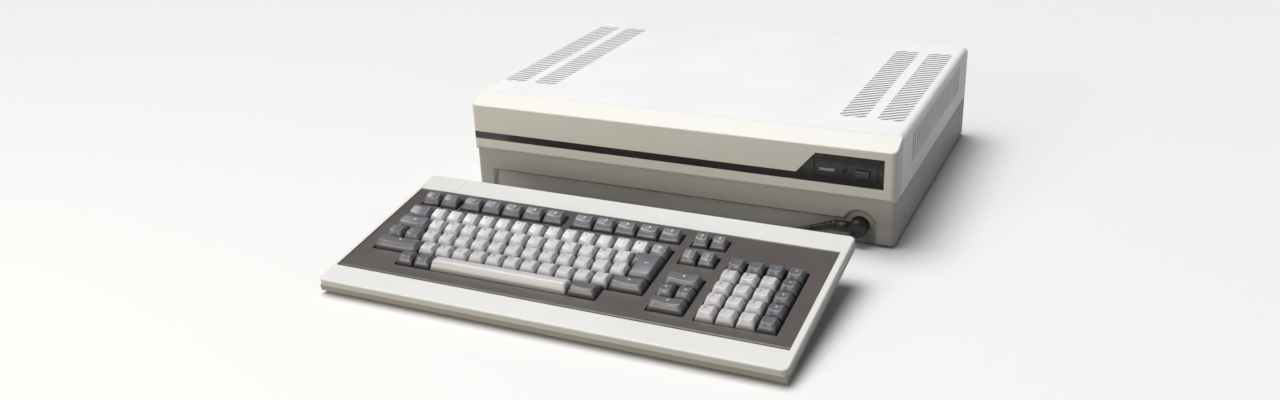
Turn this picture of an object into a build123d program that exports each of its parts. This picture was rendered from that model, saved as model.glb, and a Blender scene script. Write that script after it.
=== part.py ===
from build123d import *
import os
from math import cos, hypot, pi, radians, sin, tan

# A desktop home computer of the early 1980s: a low, wide main unit with a slitted top
# cover, and a corded keyboard that stands in front of it on two fold-out legs.
# Millimetres. +Z is up, the front faces -Y, the desk is Z = 0, and the origin is the
# middle of the footprint of the two housings together.

os.makedirs("parts", exist_ok=True)

# ------------------------------------------------------------------ main unit, driving sizes
UNIT_W = 490.0           # width of the housing
UNIT_D = 372.0           # depth of the housing behind the lower front
UNIT_TOP = 115.0         # top of the cover above the desk
FOOT_H = 2.5             # rubber feet below the housing
FOOT_R = 10.0
FOOT_INSET = 35.0
SEAM_Z = 51.5            # joint between the lower case and the bezel and cover
SEAM_GAP = 0.3           # shadow gap at that joint
CORNER_R = 6.0           # standing corners of the housing
TOP_EDGE_R = 7.0         # soft edge round the top cover
BASE_EDGE_R = 2.0        # soft edge round the bottom
CASE_WALL = 3.0          # moulded walls of the lower case
FRONT_WALL = 8.0         # thick front of the lower case, holds the trough
COVER_WALL = 2.5         # top cover

BEZEL_PROUD = 5.0        # bezel stands in front of the lower case
BEZEL_FACE_TOP = 105.5   # where the upright face turns into the slope
BEZEL_DEPTH = 20.0       # from the lower front back to the cover's seam
BEZEL_WALL = 3.5
BEZEL_CORNER_R = 7.0
BEZEL_BROW_R = 2.0       # soft edges round the slope
BEZEL_UNDERCUT = 4.0     # bevel under the bezel

TRIM_POCKET = 1.6        # pocket for the black inlay
TRIM_T = 1.2             # inlay
TRIM_FIT = 0.15          # inlay to pocket
STRIPE_LEFT = 3.0        # left end of the stripe from the unit's left side
STRIPE_LOW = 65.5        # heights above the desk
STRIPE_HIGH = 74.0
PANEL_HIGH = 97.0
PANEL_SLOPE_FOOT = 103.0   # where the stripe starts to widen, from the right side
PANEL_SLOPE_TOP = 83.0
PANEL_RIGHT = 12.0
FRAME_LEFT = 84.5        # raised line round the switch field, from the right side
FRAME_RIGHT = 18.0
FRAME_LOW = 72.6
FRAME_HIGH = 92.4
FRAME_LINE = 1.0
FRAME_RAISE = 0.6

BUTTON_X = 34.0          # centre of the power button from the right side
BUTTON_Z = 80.2
BUTTON_W = 14.6
BUTTON_H = 5.8
BUTTON_FIT = 0.35        # clearance round the button
BUTTON_PROUD = 3.2       # in front of the inlay
BUTTON_TRAVEL = 2.5
BUTTON_FLANGE = 1.5      # collar behind the bezel's wall
BUTTON_COLLAR = 1.5      # how far the collar reaches past the button
PLUNGER = 3.0
SWITCH_BODY_W = 20.0
SWITCH_BODY_H = 16.0
SWITCH_BODY_L = 16.0
LAMP_X = 52.3            # from the right side
LAMP_Z = 81.3
LAMP_R = 2.5
LAMP_PROUD = 1.6
LAMP_FIT = 0.1

TROUGH_LEFT = 20.0       # recess along the foot of the lower front
TROUGH_TOP = 28.5
TROUGH_CORNER_R = 9.0
TROUGH_DEPTH = 4.0
TROUGH_BEVEL = 3.4       # how far its walls lean in
SOCKET_X = 36.5          # keyboard socket, from the right side
SOCKET_Z = 20.5
ARCH_R = 18.5            # arch of the trough round the socket
SOCKET_R = 8.4
SOCKET_BORE_R = 6.8
SOCKET_L = 14.0
SOCKET_FLANGE_R = 10.0
SOCKET_FLANGE_T = 1.0
SOCKET_FIT = 0.1

# vents: four columns of oblique slits in the top, upright slots in both sides
VENT_PITCH = 9.5
VENT_FRONT = 64.0        # first slit behind the lower front
VENT_BACK = 326.0
VENT_SLIT = 4.2          # slit width measured along the depth
VENT_COL_W = 28.0
VENT_LEAN = 20.0         # how far back a slit runs across its column
VENT_LEFT = (4.5, 44.5)  # left edges of the two columns at the left, from the left side
VENT_RIGHT = (38.5, 78.5)   # left edges of the two at the right, from the right side
SIDE_VENT_LOW = 72.0
SIDE_VENT_HIGH = 104.0
SIDE_VENT_W = 3.6

# rear and inside
REAR_INSET = 8.0         # the rear panel lies this far inside the back edge
REAR_RIM = 3.0           # frame of the housing round the rear panel
REAR_MARGIN_X = 14.0
REAR_LOW = 12.0
REAR_HIGH = 104.0
REAR_T = 1.2
REAR_LAP = 2.0           # panel behind the rim
FAN_SIZE = 80.0
FAN_T = 25.0
FAN_BORE_R = 38.0
FAN_HUB_R = 17.0
FAN_TIP_R = 36.5
FAN_BLADES = 7
FAN_PIN_R = 2.0
FAN_PIN_FIT = 0.05
FAN_X = 58.0             # fan centre from the left side
FAN_Z = 58.0
GUARD_RINGS = 3
GUARD_SLOT = 5.0
SLOT_ROWS = 3
SLOT_COLS = 2
SLOT_SPACE = 8.0         # between neighbouring slots
SLOT_H = 19.0
SLOT_PITCH_Z = 27.0
SLOT_FIELD_LEFT = 161.0  # field of the slots from the left and the right side
SLOT_FIELD_RIGHT = 13.0
SLOT_FIRST_Z = 31.0
COVER_T = 1.2            # slot covers
CAGE_T = 1.2
CAGE_L = 170.0
CARD_RAIL = 4.0
BOARD_T = 1.6
BOARD_LIFT = 8.0         # main board above the inner floor
BOARD_LEFT = 132.0       # board's left edge from the unit's left side
BOARD_INSET = 14.0       # from its other walls
STANDOFF_R = 3.5
STANDOFF_INSET = 12.0
SUPPLY_LEFT = 10.0
SUPPLY_W = 112.0
SUPPLY_L = 190.0
SUPPLY_H = 76.0
SUPPLY_BEND_R = 2.0
SUPPLY_SLOTS = 8
TRANSFORMER_W = 58.0
TRANSFORMER_H = 48.0
INLET_DEPTH = 14.0
INLET_WALL = 4.0
PORT_FIT = 0.6
PORT_X = 137.0           # column of rear connectors, from the left side
PORT_PROUD = 5.0
SCREW_R = 3.6
SCREW_HEAD = 1.4
SCREW_SINK = 1.6         # counterbore for the head
SCREW_FIT = 0.2
SCREW_INSET = (42.0, 322.0)   # screws from the lower front
SCREW_Z = 21.0

# ------------------------------------------------------------------ keyboard, driving sizes
# Along the keyboard u runs right, v runs back and w runs up from its top face.
KB_W = 476.0
KB_D = 210.0
KB_TILT = 8.5            # degrees, on its legs
KB_FRONT_H = 17.0        # front top edge above the desk
KB_REACH = 291.0         # front top edge in front of the main unit
KB_OVERHANG = 4.0        # keyboard stands out past the unit's left side
KB_CORNER_R = 6.0
KB_EDGE_R = 1.8
KB_TOP_T = 2.5           # wall of the upper case
KB_SEAM = 7.0            # joint below the top face
KB_SEAM_GAP = 0.4
KB_LOWER_INSET = 1.0
KB_THICK = 17.5          # top face to underside
KB_WALL = 2.0
KB_SOLE = 26.0           # front part of the underside, level with the desk
KB_BEVEL = 3.0           # bevel along the other three sides of the underside
KB_SIDE_WALL = 3.0
DECK_DROP = 1.2          # deck face below the case's top face
DECK_T = 4.0
DECK_LEFT = 4.0          # deck inside the case: left, right, front and back margins
DECK_RIGHT = 7.0
DECK_FRONT = 26.5
DECK_BACK = 30.0
DECK_FIT = 0.3
DECK_NOSE_R = 2.8        # rounded front edge of the deck
DECK_SILL = 2.2          # flange that shows in front of the deck
DECK_LIP = 0.9           # flange behind the case's other edges
DECK_LIP_DROP = 0.3      # flange below the case's inner face
LID_U = 45.0             # corner cover at the back left
LID_GAP = 0.2

KEY_FIELD_LEFT = 20.85   # margins from the case's sides to the outermost keys
KEY_FIELD_RIGHT = 24.24
KEY_FIELD_FRONT = 43.11  # from the case's front and back to the key openings
KEY_FIELD_BACK = 39.45
KEY_COLUMNS = 22.62      # key pitches across and in depth
KEY_ROWS = 6.69
CAP_GAP = 0.85           # between neighbouring caps
KEY_TRAVEL = 3.8
FIGURE_COLUMN = 1.95     # centre of the figure-one key, in key pitches from the left and front
FIGURE_ROW = 4.64
CAP_SINK = 1.0           # caps start below the deck face
CAP_LEAN = 2.7           # how far each side of a cap leans in
CAP_DISH = 0.7           # finger dish
STEM = 3.6
STEM_FIT = 0.4           # play of a stem in its switch, on each side
CAP_CLEAR = 0.4          # left under a pressed cap and its stem
SWITCH_W = 13.4
SWITCH_H = 6.4
SWITCH_FLOOR = 0.6
PLATE_T = 1.0
KB_BOARD_T = 1.2
KB_BOARD_GAP = 0.3
KB_STACK_INSET = 14.0    # plate and board inside the case

LEG_INSET = 35.0         # centres of the legs from the case's sides
LEG_BACK = 36.0          # hinge line from the case's back
LEG_UP = 3.0             # hinge line above the underside
LEG_W = 26.0
LEG_T = 4.0
LEG_KNUCKLE_R = 2.9
LEG_LEAN = 4.0           # degrees, tip in front of the hinge
LEG_PIN_R = 1.5
LEG_PIN_L = 2.0
LEG_PIN_FIT = 0.05
LEG_GAP = 0.35
POCKET_ROOF = 2.0
POCKET_H = 6.5
POCKET_WALL = 3.2
KB_FOOT_INSET = 44.0     # centres of the front feet from the case's sides
KB_FOOT_W = 30.0
KB_FOOT_L = 12.0
KB_FOOT_V = 14.0

# ------------------------------------------------------------------ keyboard lead
CORD_R = 2.75
PLUG_R = 10.0
PLUG_T = 14.0
PLUG_GAP = 0.2
PLUG_SHELL_R = 6.5
PLUG_SHELL_L = 8.0
SLEEVE_R = 5.6
SLEEVE_L = 27.0
BOOT_L = 26.0            # tapering end, where the cord leaves the plug
BOOT_R = 4.4
BOOT_END_R = 3.3
BOOT_DIP = 18.0          # degrees below level
RELIEF_RIGHT = 226.0     # the cord's way out at the back of the keyboard, from its right side
RELIEF_DROP = 12.4       # below the case's top face
RELIEF_L = 17.0
RELIEF_R = 4.6
RELIEF_DIP = 30.0        # degrees below level

# ------------------------------------------------------------------ derived places
LEFT = -(UNIT_W + KB_OVERHANG) / 2 + KB_OVERHANG    # the main unit's left side
RIGHT = LEFT + UNIT_W
CENTRE_X = (LEFT + RIGHT) / 2
FRONT = (KB_REACH - UNIT_D) / 2                     # the main unit's lower front
BACK = FRONT + UNIT_D
CENTRE_Y = (FRONT + BACK) / 2
CASE_FLOOR = FOOT_H + CASE_WALL
BEZEL_FACE = FRONT - BEZEL_PROUD
COVER_FRONT = FRONT + BEZEL_DEPTH + SEAM_GAP
COVER_D = BACK - COVER_FRONT
REAR_Y = BACK - REAR_INSET
REAR_IN = REAR_Y - REAR_T
REAR_W = UNIT_W - 2 * REAR_MARGIN_X
TROUGH_FLOOR = FRONT + TROUGH_DEPTH
BUTTON_AT = (RIGHT - BUTTON_X, BUTTON_Z)
LAMP_AT = (RIGHT - LAMP_X, LAMP_Z)
SOCKET_AT = (RIGHT - SOCKET_X, SOCKET_Z)
FAN_AT = (LEFT + FAN_X, FAN_Z)

TILT_SIN = sin(radians(KB_TILT))
TILT_COS = cos(radians(KB_TILT))
KB_LEFT = LEFT - KB_OVERHANG
KB_FRONT = FRONT - KB_REACH
KB_NORMAL = (0, -TILT_SIN, TILT_COS)
KEY_U = (KB_W - KEY_FIELD_LEFT - KEY_FIELD_RIGHT) / KEY_COLUMNS     # key pitch across
KEY_V = (KB_D - KEY_FIELD_FRONT - KEY_FIELD_BACK) / KEY_ROWS        # and in depth
KEY_ZERO_U = KEY_FIELD_LEFT + FIGURE_COLUMN * KEY_U
KEY_ZERO_V = KEY_FIELD_FRONT + FIGURE_ROW * KEY_V
LEG_U = (LEG_INSET, KB_W - LEG_INSET)
LEG_V = KB_D - LEG_BACK
KB_FOOT_U = (KB_FOOT_INSET, KB_W - KB_FOOT_INSET)
SLOT_PITCH_X = (UNIT_W - SLOT_FIELD_LEFT - SLOT_FIELD_RIGHT) / SLOT_COLS
SLOT_W = SLOT_PITCH_X - SLOT_SPACE
SLOT_FIRST_X = SLOT_FIELD_LEFT + SLOT_PITCH_X / 2


def front_plane(y):
    """Upright plane facing the user: local x is X, local y is Z."""
    return Plane(origin=(0, y, 0), x_dir=(1, 0, 0), z_dir=(0, -1, 0))


def side_plane(x):
    """Upright plane facing right: local x is Y, local y is Z."""
    return Plane(origin=(x, 0, 0), x_dir=(0, 1, 0), z_dir=(1, 0, 0))


def kb_point(u, v, w):
    """A point of the tilted keyboard in the part's frame."""
    return (
        KB_LEFT + u,
        KB_FRONT + v * TILT_COS - w * TILT_SIN,
        KB_FRONT_H + v * TILT_SIN + w * TILT_COS,
    )


def kb_plane(w):
    """Plane along the keyboard's top face, at height w: local x is u, local y is v."""
    return Plane(origin=kb_point(0, 0, w), x_dir=(1, 0, 0), z_dir=KB_NORMAL)


def kb_side(u):
    """Plane across the keyboard facing right: local x is v, local y is w."""
    return Plane(origin=kb_point(u, 0, 0), x_dir=(0, TILT_COS, TILT_SIN), z_dir=(1, 0, 0))


def save(piece, name):
    """Label a finished piece and write its STEP file."""
    piece.part.label = name
    export_step(piece.part, f"parts/{name}.step")


# ------------------------------------------------------------------ lower case
trough_right = SOCKET_AT[0] + ARCH_R
trough_low = -TROUGH_CORNER_R
board_right = UNIT_W - BOARD_INSET
board_w = board_right - BOARD_LEFT
board_d = REAR_IN - FRONT - FRONT_WALL - 2 * BOARD_INSET
board_centre = (LEFT + (BOARD_LEFT + board_right) / 2, (FRONT + FRONT_WALL + REAR_IN) / 2)
screw_points = [(FRONT + inset, SCREW_Z) for inset in SCREW_INSET]


def trough_outline(sketch, shrink):
    """The trough's outline, drawn smaller towards its floor."""
    left = LEFT + TROUGH_LEFT + shrink
    right = trough_right - shrink
    top = TROUGH_TOP - shrink
    with Locations(((left + right) / 2, (top + trough_low) / 2)):
        Rectangle(right - left, top - trough_low)
    fillet(sketch.vertices().group_by(Axis.Z)[-1].sort_by(Axis.X)[0], TROUGH_CORNER_R - shrink)
    with Locations(SOCKET_AT):
        Circle(ARCH_R - shrink)


with BuildPart() as lower_case:
    with BuildSketch(Plane.XY.offset(FOOT_H)):
        with Locations((CENTRE_X, CENTRE_Y)):
            RectangleRounded(UNIT_W, UNIT_D, CORNER_R)
    extrude(amount=SEAM_Z - SEAM_GAP - FOOT_H)
    fillet(lower_case.faces().sort_by(Axis.Z)[0].edges(), BASE_EDGE_R)
    with BuildSketch(Plane.XY.offset(CASE_FLOOR)):
        with Locations((CENTRE_X, CENTRE_Y + (FRONT_WALL - CASE_WALL) / 2)):
            RectangleRounded(
                UNIT_W - 2 * CASE_WALL, UNIT_D - FRONT_WALL - CASE_WALL, CORNER_R - CASE_WALL
            )
    extrude(amount=SEAM_Z, mode=Mode.SUBTRACT)
    # frame round the rear opening
    with BuildSketch(front_plane(BACK - CASE_WALL)):
        with Locations((CENTRE_X, (REAR_LOW - REAR_RIM + SEAM_Z - SEAM_GAP) / 2)):
            Rectangle(REAR_W + 2 * REAR_RIM, SEAM_Z - SEAM_GAP - REAR_LOW + REAR_RIM)
    extrude(amount=REAR_INSET - CASE_WALL)
    with BuildSketch(front_plane(BACK)):
        with Locations((CENTRE_X, REAR_LOW + SEAM_Z / 2)):
            Rectangle(REAR_W, SEAM_Z)
    extrude(amount=REAR_INSET, mode=Mode.SUBTRACT)
    # the trough along the foot of the front, with an arch round the socket
    for face_y, shrink in ((FRONT, 0), (TROUGH_FLOOR, TROUGH_BEVEL)):
        with BuildSketch(front_plane(face_y)) as trough:
            trough_outline(trough, shrink)
    loft(ruled=True, mode=Mode.SUBTRACT)
    with BuildSketch(front_plane(FRONT)):
        with Locations(SOCKET_AT):
            Circle(SOCKET_R + SOCKET_FIT)
    extrude(amount=-FRONT_WALL, mode=Mode.SUBTRACT)
    # posts under the main board
    with BuildSketch(Plane.XY.offset(CASE_FLOOR)):
        with Locations(board_centre):
            with GridLocations(board_w - 2 * STANDOFF_INSET, board_d - 2 * STANDOFF_INSET, 2, 2):
                Circle(STANDOFF_R)
    extrude(amount=BOARD_LIFT)
    # screw holes in both sides
    with BuildSketch(side_plane(LEFT)):
        with Locations(*screw_points):
            Circle(SCREW_R / 2)
    extrude(amount=UNIT_W, mode=Mode.SUBTRACT)
    for side in (-1, 1):
        with BuildSketch(side_plane(CENTRE_X + side * UNIT_W / 2)):
            with Locations(*screw_points):
                Circle(SCREW_R + SCREW_FIT)
        extrude(amount=-side * SCREW_SINK, mode=Mode.SUBTRACT)
save(lower_case, "lower_case")

# ------------------------------------------------------------------ top cover
vent_span = VENT_BACK - VENT_FRONT
slit_count = int((vent_span + VENT_LEAN) / VENT_PITCH)
slot_count = int(vent_span / VENT_PITCH)

with BuildPart() as top_cover:
    with BuildSketch(Plane.XY.offset(SEAM_Z)) as cover_plan:
        with Locations((CENTRE_X, COVER_FRONT + COVER_D / 2)):
            Rectangle(UNIT_W, COVER_D)
        fillet(cover_plan.vertices().group_by(Axis.Y)[-1], CORNER_R)
    extrude(amount=UNIT_TOP - SEAM_Z)
    top_rim = top_cover.faces().sort_by(Axis.Z)[-1].edges()
    fillet(top_rim - top_rim.group_by(Axis.Y)[0], TOP_EDGE_R)
    with BuildSketch(Plane.XY.offset(SEAM_Z)) as cover_hollow:
        with Locations((CENTRE_X, COVER_FRONT + COVER_D / 2 - COVER_WALL)):
            Rectangle(UNIT_W - 2 * COVER_WALL, COVER_D)
        fillet(cover_hollow.vertices().group_by(Axis.Y)[-1], CORNER_R - COVER_WALL)
    extrude(amount=UNIT_TOP - SEAM_Z - COVER_WALL, mode=Mode.SUBTRACT)
    # frame round the rear opening
    with BuildSketch(front_plane(BACK - COVER_WALL)):
        with Locations((CENTRE_X, (SEAM_Z + REAR_HIGH + REAR_RIM) / 2)):
            Rectangle(REAR_W + 2 * REAR_RIM, REAR_HIGH + REAR_RIM - SEAM_Z)
    extrude(amount=REAR_INSET - COVER_WALL)
    with BuildSketch(front_plane(BACK)):
        with Locations((CENTRE_X, (SEAM_Z + REAR_HIGH) / 2)):
            Rectangle(REAR_W, REAR_HIGH - SEAM_Z)
    extrude(amount=REAR_INSET, mode=Mode.SUBTRACT)
    # oblique slits, clipped to four columns
    with BuildSketch(Plane.XY.offset(UNIT_TOP)):
        for column in [LEFT + x for x in VENT_LEFT] + [RIGHT - x for x in VENT_RIGHT]:
            for number in range(slit_count):
                start = FRONT + VENT_FRONT - VENT_LEAN + (number + 0.5) * VENT_PITCH
                Polygon(
                    (column, start),
                    (column + VENT_COL_W, start + VENT_LEAN),
                    (column + VENT_COL_W, start + VENT_LEAN + VENT_SLIT),
                    (column, start + VENT_SLIT),
                    align=None,
                )
        with Locations((CENTRE_X, FRONT + (VENT_FRONT + VENT_BACK) / 2)):
            Rectangle(UNIT_W, vent_span, mode=Mode.INTERSECT)
    extrude(amount=-2 * COVER_WALL, mode=Mode.SUBTRACT)
    # upright slots through both sides
    with BuildSketch(side_plane(LEFT)):
        for number in range(slot_count):
            slot_y = FRONT + VENT_FRONT + (number + 0.5) * VENT_PITCH
            with Locations((slot_y, (SIDE_VENT_LOW + SIDE_VENT_HIGH) / 2)):
                Rectangle(SIDE_VENT_W, SIDE_VENT_HIGH - SIDE_VENT_LOW)
    extrude(amount=UNIT_W, mode=Mode.SUBTRACT)
save(top_cover, "top_cover")

# ------------------------------------------------------------------ front bezel
slope_rise = UNIT_TOP - BEZEL_FACE_TOP
slope_run = BEZEL_DEPTH + BEZEL_PROUD
slope_pitch = slope_rise / slope_run
roof_drop = BEZEL_WALL * hypot(slope_rise, slope_run) / slope_run
bezel_back = FRONT + BEZEL_DEPTH
bezel_floor = SEAM_Z + BEZEL_WALL


def inlay_outline(shrink):
    """Stripe that widens into the switch panel, drawn on a front plane."""
    left = LEFT + STRIPE_LEFT + shrink
    right = RIGHT - PANEL_RIGHT - shrink
    Polygon(
        (left, STRIPE_LOW + shrink),
        (right, STRIPE_LOW + shrink),
        (right, PANEL_HIGH - shrink),
        (RIGHT - PANEL_SLOPE_TOP + shrink / 2, PANEL_HIGH - shrink),
        (RIGHT - PANEL_SLOPE_FOOT + shrink / 2, STRIPE_HIGH - shrink),
        (left, STRIPE_HIGH - shrink),
        align=None,
    )


def switch_field_holes():
    """Holes for the power button and the lamp, drawn on a front plane."""
    with Locations(BUTTON_AT):
        Rectangle(BUTTON_W + 2 * BUTTON_FIT, BUTTON_H + 2 * BUTTON_FIT)
    with Locations(LAMP_AT):
        Circle(LAMP_R + LAMP_FIT)


with BuildPart() as front_bezel:
    with BuildSketch(side_plane(LEFT)):
        Polygon(
            (BEZEL_FACE, SEAM_Z + BEZEL_UNDERCUT),
            (BEZEL_FACE + BEZEL_UNDERCUT, SEAM_Z),
            (bezel_back, SEAM_Z),
            (bezel_back, UNIT_TOP),
            (BEZEL_FACE, BEZEL_FACE_TOP),
            align=None,
        )
    extrude(amount=UNIT_W)
    fillet(front_bezel.edges().filter_by(Axis.Z).group_by(Axis.Y)[0], BEZEL_CORNER_R)
    brow = front_bezel.faces().filter_by(
        lambda f: f.normal_at().Z > 0.5 and f.normal_at().Y < -0.2
    ).edges()
    fillet(brow - brow.group_by(Axis.Y)[-1], BEZEL_BROW_R)
    with BuildSketch(side_plane(LEFT + BEZEL_WALL)):
        Polygon(
            (BEZEL_FACE + BEZEL_WALL, SEAM_Z + BEZEL_UNDERCUT + BEZEL_WALL / 2),
            (BEZEL_FACE + BEZEL_UNDERCUT + BEZEL_WALL / 2, bezel_floor),
            (bezel_back + 1, bezel_floor),
            (bezel_back + 1, UNIT_TOP - roof_drop + slope_pitch),
            (BEZEL_FACE + BEZEL_WALL, BEZEL_FACE_TOP - roof_drop + BEZEL_WALL * slope_pitch),
            align=None,
        )
    extrude(amount=UNIT_W - 2 * BEZEL_WALL, mode=Mode.SUBTRACT)
    with BuildSketch(front_plane(BEZEL_FACE)):
        inlay_outline(0)
    extrude(amount=-TRIM_POCKET, mode=Mode.SUBTRACT)
    with BuildSketch(front_plane(BEZEL_FACE)):
        switch_field_holes()
    extrude(amount=-BEZEL_WALL, mode=Mode.SUBTRACT)
save(front_bezel, "front_bezel")

# ------------------------------------------------------------------ black inlay
trim_face = BEZEL_FACE + TRIM_POCKET - TRIM_T
frame_centre = (RIGHT - (FRAME_LEFT + FRAME_RIGHT) / 2, (FRAME_LOW + FRAME_HIGH) / 2)
frame_w = FRAME_LEFT - FRAME_RIGHT
frame_h = FRAME_HIGH - FRAME_LOW

with BuildPart() as black_trim:
    with BuildSketch(front_plane(trim_face)):
        inlay_outline(TRIM_FIT)
    extrude(amount=-TRIM_T)
    with BuildSketch(front_plane(trim_face)):
        with Locations(frame_centre):
            Rectangle(frame_w, frame_h)
            Rectangle(frame_w - 2 * FRAME_LINE, frame_h - 2 * FRAME_LINE, mode=Mode.SUBTRACT)
    extrude(amount=FRAME_RAISE)
    with BuildSketch(front_plane(trim_face)):
        switch_field_holes()
    extrude(amount=-TRIM_T, mode=Mode.SUBTRACT)
save(black_trim, "black_trim")

# ------------------------------------------------------------------ power button, switch, lamp
wall_back = BEZEL_FACE + BEZEL_WALL
collar_front = wall_back + LAMP_FIT
button_back = collar_front + BUTTON_FLANGE
switch_front = button_back + BUTTON_TRAVEL + BUTTON_FIT
plunger_end = switch_front + PLUNGER
well = PLUNGER + BUTTON_TRAVEL + BUTTON_FIT

with BuildPart() as power_button:
    with BuildSketch(front_plane(collar_front)):
        with Locations(BUTTON_AT):
            Rectangle(BUTTON_W, BUTTON_H)
    extrude(amount=collar_front - trim_face + BUTTON_PROUD)
    chamfer(power_button.faces().sort_by(Axis.Y)[0].edges(), 0.6)
    with BuildSketch(front_plane(button_back)):
        with Locations(BUTTON_AT):
            Rectangle(BUTTON_W + 2 * BUTTON_COLLAR, BUTTON_H + 2 * BUTTON_COLLAR)
    extrude(amount=BUTTON_FLANGE)
    with BuildSketch(front_plane(button_back)):
        with Locations(BUTTON_AT):
            Rectangle(PLUNGER, PLUNGER)
    extrude(amount=button_back - plunger_end)
save(power_button, "power_button")

with BuildPart() as power_switch:
    with BuildSketch(front_plane(switch_front)):
        with Locations(BUTTON_AT):
            Rectangle(SWITCH_BODY_W, SWITCH_BODY_H)
    extrude(amount=-SWITCH_BODY_L)
    with BuildSketch(front_plane(switch_front)):
        with Locations(BUTTON_AT):
            Rectangle(PLUNGER + 2 * BUTTON_FIT, PLUNGER + 2 * BUTTON_FIT)
    extrude(amount=-well, mode=Mode.SUBTRACT)
    # bracket that stands on the bezel's floor
    bracket_h = BUTTON_Z - SWITCH_BODY_H / 2 - bezel_floor
    with BuildSketch(front_plane(switch_front)):
        with Locations((BUTTON_AT[0], bezel_floor + bracket_h / 2)):
            Rectangle(SWITCH_BODY_W * 0.6, bracket_h)
    extrude(amount=-CAGE_T)
save(power_switch, "power_switch")

lamp_back = wall_back + 6
with BuildPart() as power_lamp:
    with BuildSketch(front_plane(lamp_back)):
        with Locations(LAMP_AT):
            Circle(LAMP_R)
    extrude(amount=lamp_back - trim_face + LAMP_PROUD)
    chamfer(power_lamp.faces().sort_by(Axis.Y)[0].edges(), LAMP_R * 0.4)
    with BuildSketch(front_plane(lamp_back)):
        with Locations(LAMP_AT):
            Circle(LAMP_R + 1)
    extrude(amount=lamp_back - collar_front)
save(power_lamp, "power_lamp")

# ------------------------------------------------------------------ keyboard socket
socket_face = TROUGH_FLOOR - SOCKET_FLANGE_T
with BuildPart() as keyboard_socket:
    with BuildSketch(front_plane(TROUGH_FLOOR)):
        with Locations(SOCKET_AT):
            Circle(SOCKET_FLANGE_R)
    extrude(amount=SOCKET_FLANGE_T)
    with BuildSketch(front_plane(TROUGH_FLOOR)):
        with Locations(SOCKET_AT):
            Circle(SOCKET_R)
    extrude(amount=-SOCKET_L)
    with BuildSketch(front_plane(socket_face)):
        with Locations(SOCKET_AT):
            Circle(SOCKET_BORE_R)
    extrude(amount=-(PLUG_SHELL_L + SOCKET_FLANGE_T), mode=Mode.SUBTRACT)
save(keyboard_socket, "keyboard_socket")

# ------------------------------------------------------------------ feet and screws
with BuildPart() as rubber_feet:
    with BuildSketch():
        with Locations((CENTRE_X, CENTRE_Y)):
            with GridLocations(UNIT_W - 2 * FOOT_INSET, UNIT_D - 2 * FOOT_INSET, 2, 2):
                Circle(FOOT_R)
    extrude(amount=FOOT_H)
save(rubber_feet, "rubber_feet")

with BuildPart() as cover_screws:
    for side in (-1, 1):
        seat = side_plane(CENTRE_X + side * (UNIT_W / 2 - SCREW_SINK))
        with BuildSketch(seat):
            with Locations(*screw_points):
                Circle(SCREW_R)
        extrude(amount=side * SCREW_HEAD)
        with BuildSketch(seat):
            with Locations(*screw_points):
                Circle(SCREW_R / 2 - SCREW_FIT)
        extrude(amount=-side * CASE_WALL)
save(cover_screws, "cover_screws")

# ------------------------------------------------------------------ rear panel
slot_points = [
    (LEFT + SLOT_FIRST_X + column * SLOT_PITCH_X, SLOT_FIRST_Z + row * SLOT_PITCH_Z)
    for column in range(SLOT_COLS)
    for row in range(SLOT_ROWS)
]
# rear connectors in one column: height of the centre, width, height of the shell
PORTS = ((52.0, 34.0, 11.0), (71.0, 40.0, 12.0), (90.0, 34.0, 11.0))
INLET = (26.0, 27.0, 20.0)
port_x = LEFT + PORT_X

with BuildPart() as rear_panel:
    with BuildSketch(front_plane(REAR_Y)):
        with Locations((CENTRE_X, (REAR_LOW + REAR_HIGH) / 2)):
            Rectangle(REAR_W + 2 * REAR_LAP, REAR_HIGH - REAR_LOW + 2 * REAR_LAP)
        with Locations(*slot_points):
            Rectangle(SLOT_W - 8, SLOT_H - 5, mode=Mode.SUBTRACT)
        for height, width, tall in (INLET, *PORTS):
            with Locations((port_x, height)):
                Rectangle(width, tall, mode=Mode.SUBTRACT)
        # fan guard: rings of slots left between four spokes
        with Locations(FAN_AT):
            for ring in range(GUARD_RINGS):
                outer = FAN_BORE_R - 2 - 2 * ring * GUARD_SLOT
                Circle(outer, mode=Mode.SUBTRACT)
                Circle(outer - GUARD_SLOT)
            Rectangle(2 * FAN_BORE_R, 3, rotation=45)
            Rectangle(2 * FAN_BORE_R, 3, rotation=-45)
    extrude(amount=REAR_T)
save(rear_panel, "rear_panel")

with BuildPart() as slot_covers:
    with BuildSketch(front_plane(REAR_Y)):
        with Locations(*slot_points):
            Rectangle(SLOT_W, SLOT_H)
    extrude(amount=-COVER_T)
save(slot_covers, "slot_covers")

with BuildPart() as rear_ports:
    for height, width, tall in PORTS:
        with BuildSketch(front_plane(REAR_Y)):
            with Locations((port_x, height)):
                Trapezoid(width - 1, tall - 1, 80, rotation=180)
        extrude(amount=-PORT_PROUD)
        with BuildSketch(front_plane(REAR_Y)):
            with Locations((port_x, height)):
                Trapezoid(width - 3, tall - 3, 80, rotation=180)
        extrude(amount=-PORT_PROUD, mode=Mode.SUBTRACT)
        with BuildSketch(front_plane(REAR_Y)):
            with Locations((port_x, height)):
                Rectangle(width - 0.6, tall - 0.6)
        extrude(amount=REAR_T + 6)
save(rear_ports, "rear_ports")

# ------------------------------------------------------------------ fan
fan_back = REAR_IN
fan_front = REAR_IN - FAN_T
motor_t = 4.0
rotor_front = fan_front + motor_t + LEG_GAP
rotor_back = fan_back - 3.0

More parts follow.
